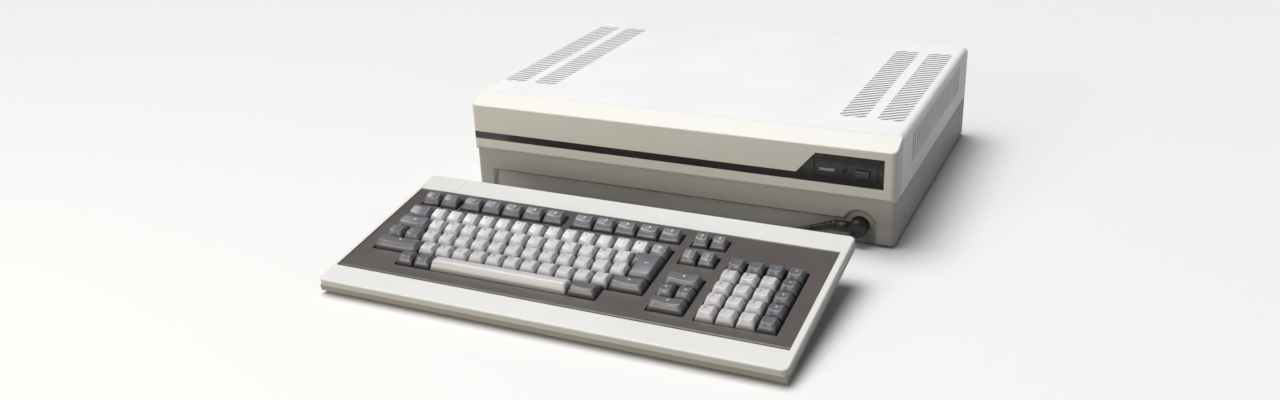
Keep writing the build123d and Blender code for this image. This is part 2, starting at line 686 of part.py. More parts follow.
with BuildPart() as fan_frame:
    with BuildSketch(front_plane(fan_back)) as fan_square:
        with Locations(FAN_AT):
            Rectangle(FAN_SIZE, FAN_SIZE)
            Circle(FAN_BORE_R, mode=Mode.SUBTRACT)
    extrude(amount=FAN_T)
    with BuildSketch(front_plane(fan_front + motor_t)):
        with Locations(FAN_AT):
            Circle(FAN_HUB_R)
            Rectangle(2 * FAN_BORE_R + 1, 5)
            Rectangle(5, 2 * FAN_BORE_R + 1)
            Circle(FAN_PIN_R + FAN_PIN_FIT, mode=Mode.SUBTRACT)
    extrude(amount=motor_t)
save(fan_frame, "fan_frame")

with BuildPart() as fan_rotor:
    with BuildSketch(front_plane(rotor_back)):
        with Locations(FAN_AT):
            Circle(FAN_HUB_R)
    extrude(amount=rotor_back - rotor_front)
    with BuildSketch(front_plane(rotor_front)):
        with Locations(FAN_AT):
            Circle(FAN_PIN_R)
    extrude(amount=motor_t)
    # pitched blades, each a straight vane turned about its own radius
    for blade in range(FAN_BLADES):
        spoke = Plane(
            origin=(FAN_AT[0], (rotor_front + rotor_back) / 2, FAN_Z),
            x_dir=(0, 1, 0),
            z_dir=(cos(radians(360 * blade / FAN_BLADES)), 0, sin(radians(360 * blade / FAN_BLADES))),
        )
        with BuildSketch(spoke.offset(FAN_HUB_R - 1)):
            Rectangle(rotor_back - rotor_front - 5, 1.6, rotation=38)
        extrude(amount=FAN_TIP_R - FAN_HUB_R + 1)
save(fan_rotor, "fan_rotor")

# ------------------------------------------------------------------ power supply
supply_back = fan_front - 2 * CASE_WALL
supply_x = LEFT + SUPPLY_LEFT + SUPPLY_W / 2

with BuildPart() as power_supply:
    # sheet-metal can, open below
    with BuildSketch(Plane.XY.offset(CASE_FLOOR)):
        with Locations((supply_x, supply_back - SUPPLY_L / 2)):
            RectangleRounded(SUPPLY_W, SUPPLY_L, SUPPLY_BEND_R)
    extrude(amount=SUPPLY_H)
    with BuildSketch(Plane.XY.offset(CASE_FLOOR)):
        with Locations((supply_x, supply_back - SUPPLY_L / 2)):
            Rectangle(SUPPLY_W - 2 * SUPPLY_BEND_R, SUPPLY_L - 2 * SUPPLY_BEND_R)
    extrude(amount=SUPPLY_H - SUPPLY_BEND_R, mode=Mode.SUBTRACT)
    # air slots along the top
    with BuildSketch(Plane.XY.offset(CASE_FLOOR + SUPPLY_H)):
        with Locations((supply_x, supply_back - SUPPLY_L / 2)):
            with GridLocations(0, SUPPLY_L / (SUPPLY_SLOTS + 1), 1, SUPPLY_SLOTS):
                Rectangle(SUPPLY_W - 20, 6)
    extrude(amount=-SUPPLY_BEND_R, mode=Mode.SUBTRACT)
    # transformer
    with BuildSketch(Plane.XY.offset(CASE_FLOOR)):
        with Locations((supply_x, supply_back - SUPPLY_L / 2)):
            Rectangle(TRANSFORMER_W, TRANSFORMER_W)
    extrude(amount=TRANSFORMER_H)
    # mains inlet in the rear panel
    with BuildSketch(front_plane(REAR_Y)):
        with Locations((port_x, INLET[0])):
            Rectangle(INLET[1] - PORT_FIT, INLET[2] - PORT_FIT)
    extrude(amount=INLET_DEPTH)
    with BuildSketch(front_plane(REAR_Y)):
        with Locations((port_x, INLET[0])):
            Rectangle(INLET[1] - PORT_FIT, INLET[2] - PORT_FIT)
            Rectangle(INLET[1] - INLET_WALL, INLET[2] - INLET_WALL, mode=Mode.SUBTRACT)
    extrude(amount=-CASE_WALL)
save(power_supply, "power_supply")

# ------------------------------------------------------------------ boards and card cage
board_low = CASE_FLOOR + BOARD_LIFT
with BuildPart() as main_board:
    with BuildSketch(Plane.XY.offset(board_low)):
        with Locations(board_centre):
            Rectangle(board_w, board_d)
    extrude(amount=BOARD_T)
    # processor, memory banks and the beeper in front of the card cage
    with BuildSketch(Plane.XY.offset(board_low + BOARD_T)):
        with Locations((board_centre[0], FRONT + FRONT_WALL + BOARD_INSET + 60)):
            with GridLocations(34, 44, 6, 2):
                Rectangle(16, 34)
    extrude(amount=4)
    with BuildSketch(Plane.XY.offset(board_low + BOARD_T)):
        with Locations((LEFT + BOARD_LEFT + 20, FRONT + FRONT_WALL + BOARD_INSET + 24)):
            Circle(12)
    extrude(amount=9)
save(main_board, "main_board")

cage_low = board_low + BOARD_T + 2
cage_high = REAR_HIGH - REAR_LAP
cage_walls = [
    LEFT + SLOT_FIRST_X + (column - 0.5) * SLOT_PITCH_X for column in range(SLOT_COLS + 1)
]
with BuildPart() as card_cage:
    # back plane with one connector for each slot
    with BuildSketch(front_plane(REAR_IN - CAGE_L)):
        with Locations((sum(cage_walls) / len(cage_walls), (cage_low + cage_high) / 2)):
            Rectangle(cage_walls[-1] - cage_walls[0] + CAGE_T, cage_high - cage_low)
    extrude(amount=BOARD_T)
    with BuildSketch(front_plane(REAR_IN - CAGE_L)):
        with Locations(*slot_points):
            Rectangle(SLOT_W - 60, 6)
    extrude(amount=-10)
    # sheet walls from the back plane to the rear panel, with rails for the cards
    for wall_x in cage_walls:
        with BuildSketch(side_plane(wall_x - CAGE_T / 2)):
            with Locations((REAR_IN - CAGE_L / 2, (cage_low + cage_high) / 2)):
                Rectangle(CAGE_L, cage_high - cage_low)
        extrude(amount=CAGE_T)
    for rail_x in (cage_walls[0], cage_walls[1] - CARD_RAIL, cage_walls[1], cage_walls[2] - CARD_RAIL):
        with BuildSketch(side_plane(rail_x)):
            for row in range(SLOT_ROWS):
                with Locations((REAR_IN - CAGE_L / 2, SLOT_FIRST_Z + row * SLOT_PITCH_Z)):
                    Rectangle(CAGE_L - 40, 3)
        extrude(amount=CARD_RAIL)
save(card_cage, "card_cage")

# ------------------------------------------------------------------ keyboard, upper case
deck_left = DECK_LEFT
deck_right = KB_W - DECK_RIGHT
deck_front = DECK_FRONT + DECK_SILL
deck_back = KB_D - DECK_BACK
open_w = deck_right - deck_left + 2 * DECK_FIT
open_d = deck_back - DECK_FRONT + DECK_FIT
open_centre = ((deck_left + deck_right) / 2, (DECK_FRONT + deck_back + DECK_FIT) / 2)
lid_centre = (LID_U / 2 - 1, (deck_back + DECK_FIT + KB_D) / 2 + 1)
lid_size = (LID_U + 2, KB_D - deck_back - DECK_FIT + 2)

with BuildPart() as upper_shell:
    with BuildSketch(kb_plane(-KB_SEAM)):
        with Locations((KB_W / 2, KB_D / 2)):
            RectangleRounded(KB_W, KB_D, KB_CORNER_R)
    extrude(amount=KB_SEAM)
    fillet(upper_shell.faces().filter_by(Plane(origin=(0, 0, 0), z_dir=KB_NORMAL)).sort_by(
        Axis((0, 0, 0), KB_NORMAL))[-1].edges(), KB_EDGE_R)
    with BuildSketch(kb_plane(-KB_SEAM)):
        with Locations((KB_W / 2, KB_D / 2)):
            RectangleRounded(KB_W - 2 * KB_TOP_T, KB_D - 2 * KB_TOP_T, KB_CORNER_R - KB_TOP_T)
    extrude(amount=KB_SEAM - KB_TOP_T, mode=Mode.SUBTRACT)
    with BuildSketch(kb_plane(0)):
        with Locations(open_centre):
            Rectangle(open_w, open_d)
    extrude(amount=-KB_SEAM, mode=Mode.SUBTRACT)

with BuildPart() as kb_upper_case:
    add(upper_shell.part)
    with BuildSketch(kb_plane(-KB_SEAM)):
        with Locations(lid_centre):
            Rectangle(*lid_size)
    extrude(amount=KB_SEAM, mode=Mode.SUBTRACT)
save(kb_upper_case, "kb_upper_case")

# corner piece at the back left, which lifts off over the small switches
with BuildPart() as kb_corner_cover:
    add(upper_shell.part)
    with BuildSketch(kb_plane(-KB_SEAM)):
        with Locations((lid_centre[0] - LID_GAP, lid_centre[1] + LID_GAP)):
            Rectangle(*lid_size)
    extrude(amount=KB_SEAM, mode=Mode.INTERSECT)
save(kb_corner_cover, "kb_corner_cover")

# ------------------------------------------------------------------ keyboard, lower case
lower_top = -KB_SEAM - KB_SEAM_GAP
lower_left = KB_LOWER_INSET
lower_right = KB_W - KB_LOWER_INSET
lower_back = KB_D - KB_LOWER_INSET
under = -KB_THICK
sole_drop = (KB_SOLE - KB_LOWER_INSET) * tan(radians(KB_TILT))
kb_floor = under + KB_WALL
leg_w = under + LEG_UP
leg_fall = kb_point(0, LEG_V, leg_w)[2] - LEG_T / 2
leg_reach = leg_fall / cos(radians(LEG_LEAN))
pocket_front = LEG_V - LEG_KNUCKLE_R - LEG_GAP
pocket_back = LEG_V + leg_reach + LEG_T / 2 + 2 * LEG_GAP
pocket_w = LEG_W + 2 * LEG_GAP
pocket_mid = (pocket_front + pocket_back) / 2

with BuildPart() as kb_lower_case:
    with BuildSketch(kb_side(0)):
        Polygon(
            (KB_LOWER_INSET, lower_top),
            (KB_LOWER_INSET, under + sole_drop),
            (KB_SOLE, under),
            (lower_back - KB_BEVEL, under),
            (lower_back, under + KB_BEVEL),
            (lower_back, lower_top),
            align=None,
        )
    extrude(amount=KB_W)
    # bevelled ends
    with BuildSketch(Plane(origin=kb_point(0, KB_D, 0), x_dir=(1, 0, 0), z_dir=(0, -TILT_COS, -TILT_SIN))):
        Polygon(
            (lower_left, 0),
            (lower_left, under + KB_BEVEL),
            (lower_left + KB_BEVEL, under),
            (lower_right - KB_BEVEL, under),
            (lower_right, under + KB_BEVEL),
            (lower_right, 0),
            align=None,
        )
    extrude(amount=KB_D, mode=Mode.INTERSECT)
    # hollow
    hollow_left = lower_left + KB_SIDE_WALL
    with BuildSketch(kb_side(hollow_left)):
        Polygon(
            (KB_LOWER_INSET + KB_WALL, lower_top),
            (KB_LOWER_INSET + KB_WALL, kb_floor + sole_drop),
            (KB_SOLE, kb_floor),
            (lower_back - KB_SIDE_WALL, kb_floor),
            (lower_back - KB_SIDE_WALL, lower_top),
            align=None,
        )
    extrude(amount=lower_right - KB_SIDE_WALL - hollow_left, mode=Mode.SUBTRACT)
    # a pocket in the underside for each leg, with its roof inside the case
    leg_pockets = [(u, pocket_mid) for u in LEG_U]
    with BuildSketch(kb_plane(under + KB_WALL / 2)):
        with Locations(*leg_pockets):
            Rectangle(pocket_w + 2 * POCKET_WALL, pocket_back - pocket_front + 2 * POCKET_ROOF)
    extrude(amount=POCKET_H + POCKET_ROOF - KB_WALL / 2)
    with BuildSketch(kb_plane(under)):
        with Locations(*leg_pockets):
            Rectangle(pocket_w, pocket_back - pocket_front)
    extrude(amount=POCKET_H, mode=Mode.SUBTRACT)
    for u in LEG_U:
        with BuildSketch(kb_side(u)):
            with Locations((LEG_V, leg_w)):
                Circle(LEG_PIN_R + LEG_PIN_FIT)
        extrude(amount=pocket_w / 2 + LEG_PIN_L, both=True, mode=Mode.SUBTRACT)
save(kb_lower_case, "kb_lower_case")

# ------------------------------------------------------------------ legs and front feet
hinge = kb_point(0, LEG_V, leg_w)
leg_tip_y = hinge[1] - leg_fall * tan(radians(LEG_LEAN))
leg_tip_z = LEG_T / 2

for side_name, u in (("left", LEG_U[0]), ("right", LEG_U[1])):
    with BuildPart() as kb_leg:
        with BuildSketch(side_plane(KB_LEFT + u)):
            with Locations(((hinge[1] + leg_tip_y) / 2, (hinge[2] + leg_tip_z) / 2)):
                SlotCenterToCenter(leg_reach, LEG_T, rotation=90 - LEG_LEAN)
            with Locations((hinge[1], hinge[2])):
                Circle(LEG_KNUCKLE_R)
        extrude(amount=LEG_W / 2, both=True)
        with BuildSketch(side_plane(KB_LEFT + u)):
            with Locations((hinge[1], hinge[2])):
                Circle(LEG_PIN_R)
        extrude(amount=LEG_W / 2 + LEG_PIN_L, both=True)
    save(kb_leg, f"kb_leg_{side_name}")

sole_z = kb_point(0, KB_SOLE, under)[2]
with BuildPart() as kb_front_feet:
    with BuildSketch():
        with Locations(*[(KB_LEFT + u, KB_FRONT + KB_FOOT_V) for u in KB_FOOT_U]):
            RectangleRounded(KB_FOOT_W, KB_FOOT_L, KB_FOOT_L / 3)
    extrude(amount=sole_z)
save(kb_front_feet, "kb_front_feet")

# ------------------------------------------------------------------ deck
# openings in key pitches from the figure-one key: left, right, front, back
OPENINGS = (
    (-2.0, 13.67, -3.55, 0.52),     # main block
    (0.06, 11.62, -4.56, -3.5),     # bottom row
    (-2.0, 0.42, 1.05, 2.05),       # two keys at the back left
    (0.55, 6.92, 1.05, 2.05),       # function keys, left five
    (7.38, 13.67, 1.05, 2.05),      # function keys, right five
    (14.2, 16.15, 1.05, 2.05),      # roll keys
    (14.15, 16.15, -0.5, 0.5),      # insert and delete
    (14.17, 16.15, -4.55, -1.5),    # cursor keys
    (16.63, 20.71, -4.64, 0.44),    # number pad
)
deck_face = -DECK_DROP

with BuildPart() as kb_deck:
    with BuildSketch(kb_plane(deck_face)):
        with Locations(((deck_left + deck_right) / 2, (deck_front + deck_back) / 2)):
            Rectangle(deck_right - deck_left, deck_back - deck_front)
    extrude(amount=-DECK_T)
    nose = kb_deck.edges().filter_by(Axis.X).group_by(Axis.Y)[0].sort_by(Axis.Z)[-1]
    fillet(nose, DECK_NOSE_R)
    lip_top = -KB_TOP_T - DECK_LIP_DROP
    with BuildSketch(kb_plane(lip_top)):
        with Locations((open_centre[0], (DECK_FRONT + deck_back) / 2)):
            Rectangle(open_w + 2 * DECK_LIP, deck_back - DECK_FRONT + 2 * DECK_LIP + DECK_FIT)
    extrude(amount=deck_face - DECK_T - lip_top)
    with BuildSketch(kb_plane(0)):
        for left, right, front, back in OPENINGS:
            with Locations((
                KEY_ZERO_U + KEY_U * (left + right) / 2, KEY_ZERO_V + KEY_V * (front + back) / 2
            )):
                Rectangle(KEY_U * (right - left), KEY_V * (back - front))
    extrude(amount=deck_face - DECK_T, mode=Mode.SUBTRACT)
save(kb_deck, "kb_deck")

# ------------------------------------------------------------------ keys
KEY_PLANE = Plane(
    origin=kb_point(KEY_ZERO_U, KEY_ZERO_V, deck_face - CAP_SINK), x_dir=(1, 0, 0), z_dir=KB_NORMAL
)
# sculpted rows: front and back edge of the top face, and their heights over the cap's rim
PROFILES = {
    "function": (-3.2, 7.0, 8.4, 9.6),
    "figures": (-5.8, 6.9, 8.0, 10.0),
    "upper": (-5.6, 6.8, 8.4, 9.5),
    "home": (-5.4, 6.7, 8.9, 9.1),
    "lower": (-5.2, 6.5, 9.3, 8.7),
    "thumb": (-4.8, 6.3, 9.7, 8.4),
    "pad": (-5.2, 6.5, 9.3, 8.8),
}
switch_drop = CAP_SINK + KEY_TRAVEL + CAP_CLEAR     # top of a switch below the deck face
stem_l = switch_drop + SWITCH_H - SWITCH_FLOOR - CAP_SINK - KEY_TRAVEL - CAP_CLEAR
switch_points = []


def keycap(width, profile, depth=1.0, lean_left=CAP_LEAN, dished=True, stemmed=True):
    """One cap with its stem, centred on its own rim. Width and depth are in key pitches."""
    w = width * KEY_U - CAP_GAP
    half = (KEY_V - CAP_GAP) / 2
    spare = (depth - 1) * KEY_V / 2
    top_front, top_back, front_h, back_h = PROFILES[profile]
    top_front -= spare
    top_back += spare
    top_w = w - lean_left - CAP_LEAN
    with BuildPart(mode=Mode.PRIVATE) as cap:
        with BuildSketch(Plane.YZ.offset(-w / 2)):
            Polygon(
                (-half - spare, 0),
                (half + spare, 0),
                (top_back, back_h),
                (top_front, front_h),
                align=None,
            )
        extrude(amount=w)
        with BuildSketch(Plane.XZ):
            Polygon(
                (-w / 2, 0),
                (w / 2, 0),
                (w / 2 - CAP_LEAN, max(front_h, back_h)),
                (-w / 2 + lean_left, max(front_h, back_h)),
                align=None,
            )
        extrude(amount=depth * KEY_V, both=True, mode=Mode.INTERSECT)
        if dished:
            slope = hypot(top_back - top_front, back_h - front_h)
            along = ((top_front - top_back) / slope, (front_h - back_h) / slope)
            dish_r = top_w * top_w / (8 * CAP_DISH) + CAP_DISH / 2
            with BuildSketch(
                Plane(origin=(0, top_front, front_h), x_dir=(1, 0, 0), z_dir=(0, along[0], along[1]))
            ):
                with Locations((0, dish_r - CAP_DISH)):
                    Circle(dish_r)
            extrude(amount=2 * depth * KEY_V, both=True, mode=Mode.SUBTRACT)
        if stemmed:
            with BuildSketch():
                Rectangle(STEM, STEM)
            extrude(amount=-stem_l)
    return cap.part


def key_node(name, keys, profile, depth=1.0, dished=True):
    """Write one node of caps. Each key is (left, right, row) in key pitches."""
    with BuildPart(KEY_PLANE) as caps:
        for left, right, row in keys:
            spot = (KEY_U * (left + right) / 2, KEY_V * row)
            switch_points.append(spot)
            with Locations((*spot, 0)):
                add(keycap(right - left, profile, depth, dished=dished))
    save(caps, name)


SIDE = -1.95             # left edge of the main block
EDGE = 13.63             # right edge of the main block
PAD_LEFT = 16.67         # left edge of the number pad
PAD_ROW = -0.1           # its rows stand this much nearer the front
LEFT_F = (0.57, 1.27)    # left edge and pitch of the left five function keys
RIGHT_F = (7.4, 1.25)
CURSOR_LEFT = 14.2
CURSOR_RIGHT = 16.1
CURSOR_MID = (CURSOR_LEFT + CURSOR_RIGHT) / 2
BACK_ROW = 1.55

# single keys: name, left, right, row, profile
SINGLE_KEYS = (
    ("key_stop", SIDE, -0.8, BACK_ROW, "function"),
    ("key_copy", -0.8, 0.36, BACK_ROW, "function"),
    ("key_roll_up", 14.23, 15.18, BACK_ROW, "function"),
    ("key_roll_down", 15.18, 16.13, BACK_ROW, "function"),
    ("key_esc", SIDE, -0.5, 0, "figures"),
    ("key_bs", 12.5, EDGE, 0, "figures"),
    ("key_tab", SIDE, 0, -1, "upper"),
    ("key_ctrl", SIDE, -0.85, -2, "home"),
    ("key_caps", -0.85, 0.25, -2, "home"),
    ("key_shift_left", SIDE, 0.75, -3, "lower"),
    ("key_shift_right", 11.75, EDGE, -3, "lower"),
    ("key_kana", 0.1, 1.13, -4, "thumb"),
    ("key_graph", 1.13, 2.16, -4, "thumb"),
    ("key_xfer", 10.0, 11.58, -4, "thumb"),
    ("key_ins", CURSOR_LEFT, CURSOR_MID, 0, "figures"),
    ("key_del", CURSOR_MID, CURSOR_RIGHT, 0, "figures"),
    ("key_up", CURSOR_LEFT, CURSOR_RIGHT, -2, "home"),
    ("key_left", CURSOR_LEFT, CURSOR_MID, -3, "lower"),
    ("key_right", CURSOR_MID, CURSOR_RIGHT, -3, "lower"),
    ("key_down", CURSOR_LEFT, CURSOR_RIGHT, -4, "thumb"),
)
for name, left, right, row, profile in SINGLE_KEYS:
    key_node(name, [(left, right, row)], profile)

key_node("keys_figures", [(-0.5 + n, 0.5 + n, 0) for n in range(13)], "figures")
key_node("keys_upper", [(n, n + 1, -1) for n in range(12)], "upper")
key_node("keys_home", [(0.25 + n, 1.25 + n, -2) for n in range(12)], "home")
key_node("keys_lower", [(0.75 + n, 1.75 + n, -3) for n in range(11)], "lower")
key_node("keys_function", [
    (start + n * pitch, start + (n + 1) * pitch, BACK_ROW)
    for start, pitch in (LEFT_F, RIGHT_F)
    for n in range(5)
], "function")
pad_keys = [
    (column, row, (PAD_LEFT + column, PAD_LEFT + column + 1, PAD_ROW - row))
    for row in range(5)
    for column in range(4)
]
key_node("numpad_dark", [spot for column, row, spot in pad_keys if row == 0 or column == 3], "pad")
key_node("numpad_light", [spot for column, row, spot in pad_keys if row > 0 and column < 3], "pad")

# return key: a narrow cap two rows deep with a wider cap behind
RETURN_LEFT = 12.0
RETURN_STEP = 12.25
with BuildPart(KEY_PLANE) as key_return:
    return_spot = (KEY_U * (RETURN_STEP + EDGE) / 2, -1.5 * KEY_V)
    switch_points.append(return_spot)
    with Locations((*return_spot, 0)):
        add(keycap(EDGE - RETURN_STEP, "upper", depth=2.0, dished=False))
    with Locations((KEY_U * (RETURN_LEFT + EDGE) / 2, -KEY_V, 0)):
        add(keycap(EDGE - RETURN_LEFT, "upper", dished=False, stemmed=False))
save(key_return, "key_return")

# space bar: one long barrel-shaped cap
SPACE = (2.16, 10.0)
SPACE_H = 9.4
with BuildPart(KEY_PLANE) as key_space:
    space_x = KEY_U * (SPACE[0] + SPACE[1]) / 2
    space_w = KEY_U * (SPACE[1] - SPACE[0]) - CAP_GAP
    cap_half = (KEY_V - CAP_GAP) / 2
    with BuildPart(mode=Mode.PRIVATE) as bar:
        with BuildSketch(Plane.YZ.offset(-space_w / 2)):
            with BuildLine():
                Polyline((-0.6 * cap_half, 0.75 * SPACE_H), (-cap_half, 0), (cap_half, 0), (0.75 * cap_half, 0.9 * SPACE_H))
                ThreePointArc((-0.6 * cap_half, 0.75 * SPACE_H), (0, SPACE_H), (0.75 * cap_half, 0.9 * SPACE_H))
            make_face()
        extrude(amount=space_w)
        with BuildSketch(Plane.XZ):
            with Locations((0, SPACE_H / 2)):
                Trapezoid(space_w, SPACE_H, 78)
        extrude(amount=KEY_V, both=True, mode=Mode.INTERSECT)
        with BuildSketch():
            Rectangle(STEM, STEM)
        extrude(amount=-stem_l)
    switch_points.append((space_x, -4 * KEY_V))
    with Locations((space_x, -4 * KEY_V, 0)):
        add(bar.part)
save(key_space, "key_space")

# ------------------------------------------------------------------ switches, plate and board
switch_top = deck_face - switch_drop
switch_low = switch_top - SWITCH_H
key_grid = [(KEY_ZERO_U + x, KEY_ZERO_V + y) for x, y in switch_points]

with BuildPart() as key_switches:
    with BuildSketch(kb_plane(switch_low)):
        with Locations(*key_grid):
            Rectangle(SWITCH_W, SWITCH_W)
    extrude(amount=SWITCH_H)
    with BuildSketch(kb_plane(switch_low + SWITCH_FLOOR)):
        with Locations(*key_grid):
            Rectangle(STEM + 2 * STEM_FIT, STEM + 2 * STEM_FIT)
    extrude(amount=SWITCH_H, mode=Mode.SUBTRACT)
save(key_switches, "key_switches")

stack_front = KEY_ZERO_V + KEY_V * (PAD_ROW - 4.6)
stack_back = pocket_front - 2 * POCKET_ROOF - LEG_GAP
stack_w = KB_W - 2 * KB_STACK_INSET
stack_centre = (KB_W / 2, (stack_front + stack_back) / 2)

with BuildPart() as switch_plate:
    with BuildSketch(kb_plane(switch_low - PLATE_T)):
        with Locations(stack_centre):
            Rectangle(stack_w, stack_back - stack_front)
    extrude(amount=PLATE_T)
save(switch_plate, "switch_plate")

kb_board_top = switch_low - PLATE_T - KB_BOARD_GAP
with BuildPart() as kb_board:
    with BuildSketch(kb_plane(kb_board_top - KB_BOARD_T)):
        with Locations(stack_centre):
            Rectangle(stack_w - 4, stack_back - stack_front - 4)
    extrude(amount=KB_BOARD_T)
save(kb_board, "kb_board")

# ------------------------------------------------------------------ keyboard lead
plug_back = socket_face - PLUG_GAP
plug_mid = plug_back - PLUG_T / 2
sleeve_end = (SOCKET_AT[0] - SLEEVE_L, plug_mid, SOCKET_Z)
boot_dir = (-cos(radians(BOOT_DIP)), 0, -sin(radians(BOOT_DIP)))
boot_end = (
    sleeve_end[0] + BOOT_L * boot_dir[0], plug_mid, sleeve_end[2] + BOOT_L * boot_dir[2]
)

with BuildPart() as cord_plug:
    with BuildSketch(front_plane(plug_back)):
        with Locations(SOCKET_AT):
            Circle(PLUG_R)
    extrude(amount=PLUG_T)
    chamfer(cord_plug.faces().sort_by(Axis.Y)[0].edges(), 1.2)
    with BuildSketch(front_plane(plug_back)):
        with Locations(SOCKET_AT):
            Circle(PLUG_SHELL_R)
    extrude(amount=-PLUG_SHELL_L)
    with BuildSketch(Plane(origin=(SOCKET_AT[0], plug_mid, SOCKET_Z), z_dir=(-1, 0, 0))):
        Circle(SLEEVE_R)
    extrude(amount=SLEEVE_L)
    # ribbed boot that lets the cord bend
    boot = Plane(origin=sleeve_end, z_dir=boot_dir)
    with BuildSketch(boot.offset(-1)):
        Circle(BOOT_R)
    with BuildSketch(boot.offset(BOOT_L)):
        Circle(BOOT_END_R)
    loft()
save(cord_plug, "cord_plug")

relief_dir = (0, cos(radians(RELIEF_DIP)), -sin(radians(RELIEF_DIP)))
relief_root = kb_point(KB_W - RELIEF_RIGHT, lower_back, -RELIEF_DROP)
relief_end = tuple(root + RELIEF_L * step for root, step in zip(relief_root, relief_dir))

with BuildPart() as cord_relief:
    relief = Plane(origin=relief_root, z_dir=relief_dir)
    with BuildSketch(relief.offset(RELIEF_L)):
        Circle(BOOT_END_R)
    with BuildSketch(relief.offset(-KB_WALL)):
        Circle(RELIEF_R)
    loft()
    back_wall = Plane(origin=relief_root, x_dir=(1, 0, 0), z_dir=(0, TILT_COS, TILT_SIN))
    split(bisect_by=back_wall, keep=Keep.TOP)
save(cord_relief, "cord_relief")

# the lead lies on the desk behind the keyboard: route from the plug to the keyboard
BOOT_RUN = 27.0          # straight out of the plug and of the keyboard
RELIEF_RUN = 20.0
CORD_ROUTE = (
    (84.0, -50.5, CORD_R),
    (20.0, -55.0, CORD_R),
    (-50.0, -52.0, CORD_R),
    (-116.0, -46.5, CORD_R),
    (-172.0, -53.0, CORD_R),
    (-199.0, -82.0, CORD_R),
    (-188.0, -113.0, CORD_R),
    (-152.0, -121.0, CORD_R),
    (-112.0, -107.0, CORD_R),
    (-80.0, -80.0, CORD_R),
    (-47.0, -66.5, CORD_R),
    (-17.0, -66.5, 5.5),
    (-3.0, -76.0, 11.0),
)
boot_run_end = tuple(end + BOOT_RUN * step for end, step in zip(boot_end, boot_dir))
relief_run_end = tuple(end + RELIEF_RUN * step for end, step in zip(relief_end, relief_dir))
cord_points = [
    Vector(*point) for point in (boot_end, boot_run_end, *CORD_ROUTE, relief_run_end, relief_end)
]
cord_radii = []
for before, point, after in zip(cord_points, cord_points[1:], cord_points[2:]):
    turn = radians((point - before).get_angle(after - point))
    shorter = min((point - before).length, (after - point).length)
    cord_radii.append(0.45 * shorter / tan(turn / 2))
print("cord radii", [round(radius, 1) for radius in cord_radii])

with BuildPart() as keyboard_cord:
    with BuildLine() as cord_path:
        FilletPolyline(*cord_points, radius=cord_radii)
    with BuildSketch(Plane(origin=cord_path.line @ 0, z_dir=cord_path.line % 0)):
        Circle(CORD_R)
    sweep()
cord_length = cord_path.wires()[0].length
cord_section = pi * CORD_R ** 2
print("cord length", round(cord_length), "volume over section times length",
      round(keyboard_cord.part.volume / (cord_section * cord_length), 4))
save(keyboard_cord, "keyboard_cord")
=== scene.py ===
"""Finished looks of a desktop home computer: a low main unit and a corded keyboard.

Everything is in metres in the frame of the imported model: +Z up, the front faces -Y, and the
desk is Z = 0. Sizes are written in millimetres and turned to metres by MM.
"""

import logging
from dataclasses import dataclass
from enum import Enum
from math import cos, pi, radians, sin

import bmesh
import bpy
from mathutils import Matrix, Vector


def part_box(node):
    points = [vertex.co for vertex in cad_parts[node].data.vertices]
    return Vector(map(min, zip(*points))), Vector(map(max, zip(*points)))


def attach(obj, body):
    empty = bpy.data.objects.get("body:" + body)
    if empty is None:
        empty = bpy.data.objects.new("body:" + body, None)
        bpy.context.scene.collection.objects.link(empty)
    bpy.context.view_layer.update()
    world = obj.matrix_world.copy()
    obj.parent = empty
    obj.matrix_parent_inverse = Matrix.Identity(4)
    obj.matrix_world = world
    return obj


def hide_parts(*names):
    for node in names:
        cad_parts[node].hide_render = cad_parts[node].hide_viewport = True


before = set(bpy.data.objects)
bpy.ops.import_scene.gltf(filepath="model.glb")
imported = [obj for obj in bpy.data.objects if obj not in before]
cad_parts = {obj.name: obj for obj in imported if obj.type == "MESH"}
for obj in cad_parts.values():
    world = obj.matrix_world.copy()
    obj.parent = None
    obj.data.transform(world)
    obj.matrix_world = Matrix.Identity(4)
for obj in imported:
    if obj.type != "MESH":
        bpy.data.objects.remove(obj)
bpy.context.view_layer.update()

MM = 0.001
LOG = logging.getLogger("home_computer")

Pair = tuple[float, float]
Triple = tuple[float, float, float]
Outline = list[Pair]


class Slot(Enum):
    """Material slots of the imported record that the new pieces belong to."""

    KEY_LIGHT = "key_light"
    KEY_DARK = "key_dark"
    BLACK_MATTE = "black_matte"
    BLACK_PLASTIC = "black_plastic"
    SCREW = "screw"
    STEEL = "steel"


class Row(Enum):
    """Sculpted rows of key caps: front and back edge of the top face, and their heights, in mm."""

    FUNCTION = (-3.2, 7.0, 8.4, 9.6)
    FIGURES = (-5.8, 6.9, 8.0, 10.0)
    UPPER = (-5.6, 6.8, 8.4, 9.5)
    HOME = (-5.4, 6.7, 8.9, 9.1)
    LOWER = (-5.2, 6.5, 9.3, 8.7)
    THUMB = (-4.8, 6.3, 9.7, 8.4)
    BAR = (-4.8, 6.3, 8.8, 7.5)
    PAD = (-5.2, 6.5, 9.3, 8.8)


# ------------------------------------------------------------------ finishes
def linear(code: str) -> tuple[float, float, float, float]:
    """Turns an sRGB hex colour into linear colour with full alpha.

    Args:
        code: Six hex digits after a hash sign.

    Returns:
        Red, green, blue and alpha for a shader socket.
    """
    parts = [int(code[at:at + 2], 16) / 255 for at in (1, 3, 5)]
    red, green, blue = (
        part / 12.92 if part <= 0.04045 else ((part + 0.055) / 1.055) ** 2.4 for part in parts
    )
    return red, green, blue, 1.0


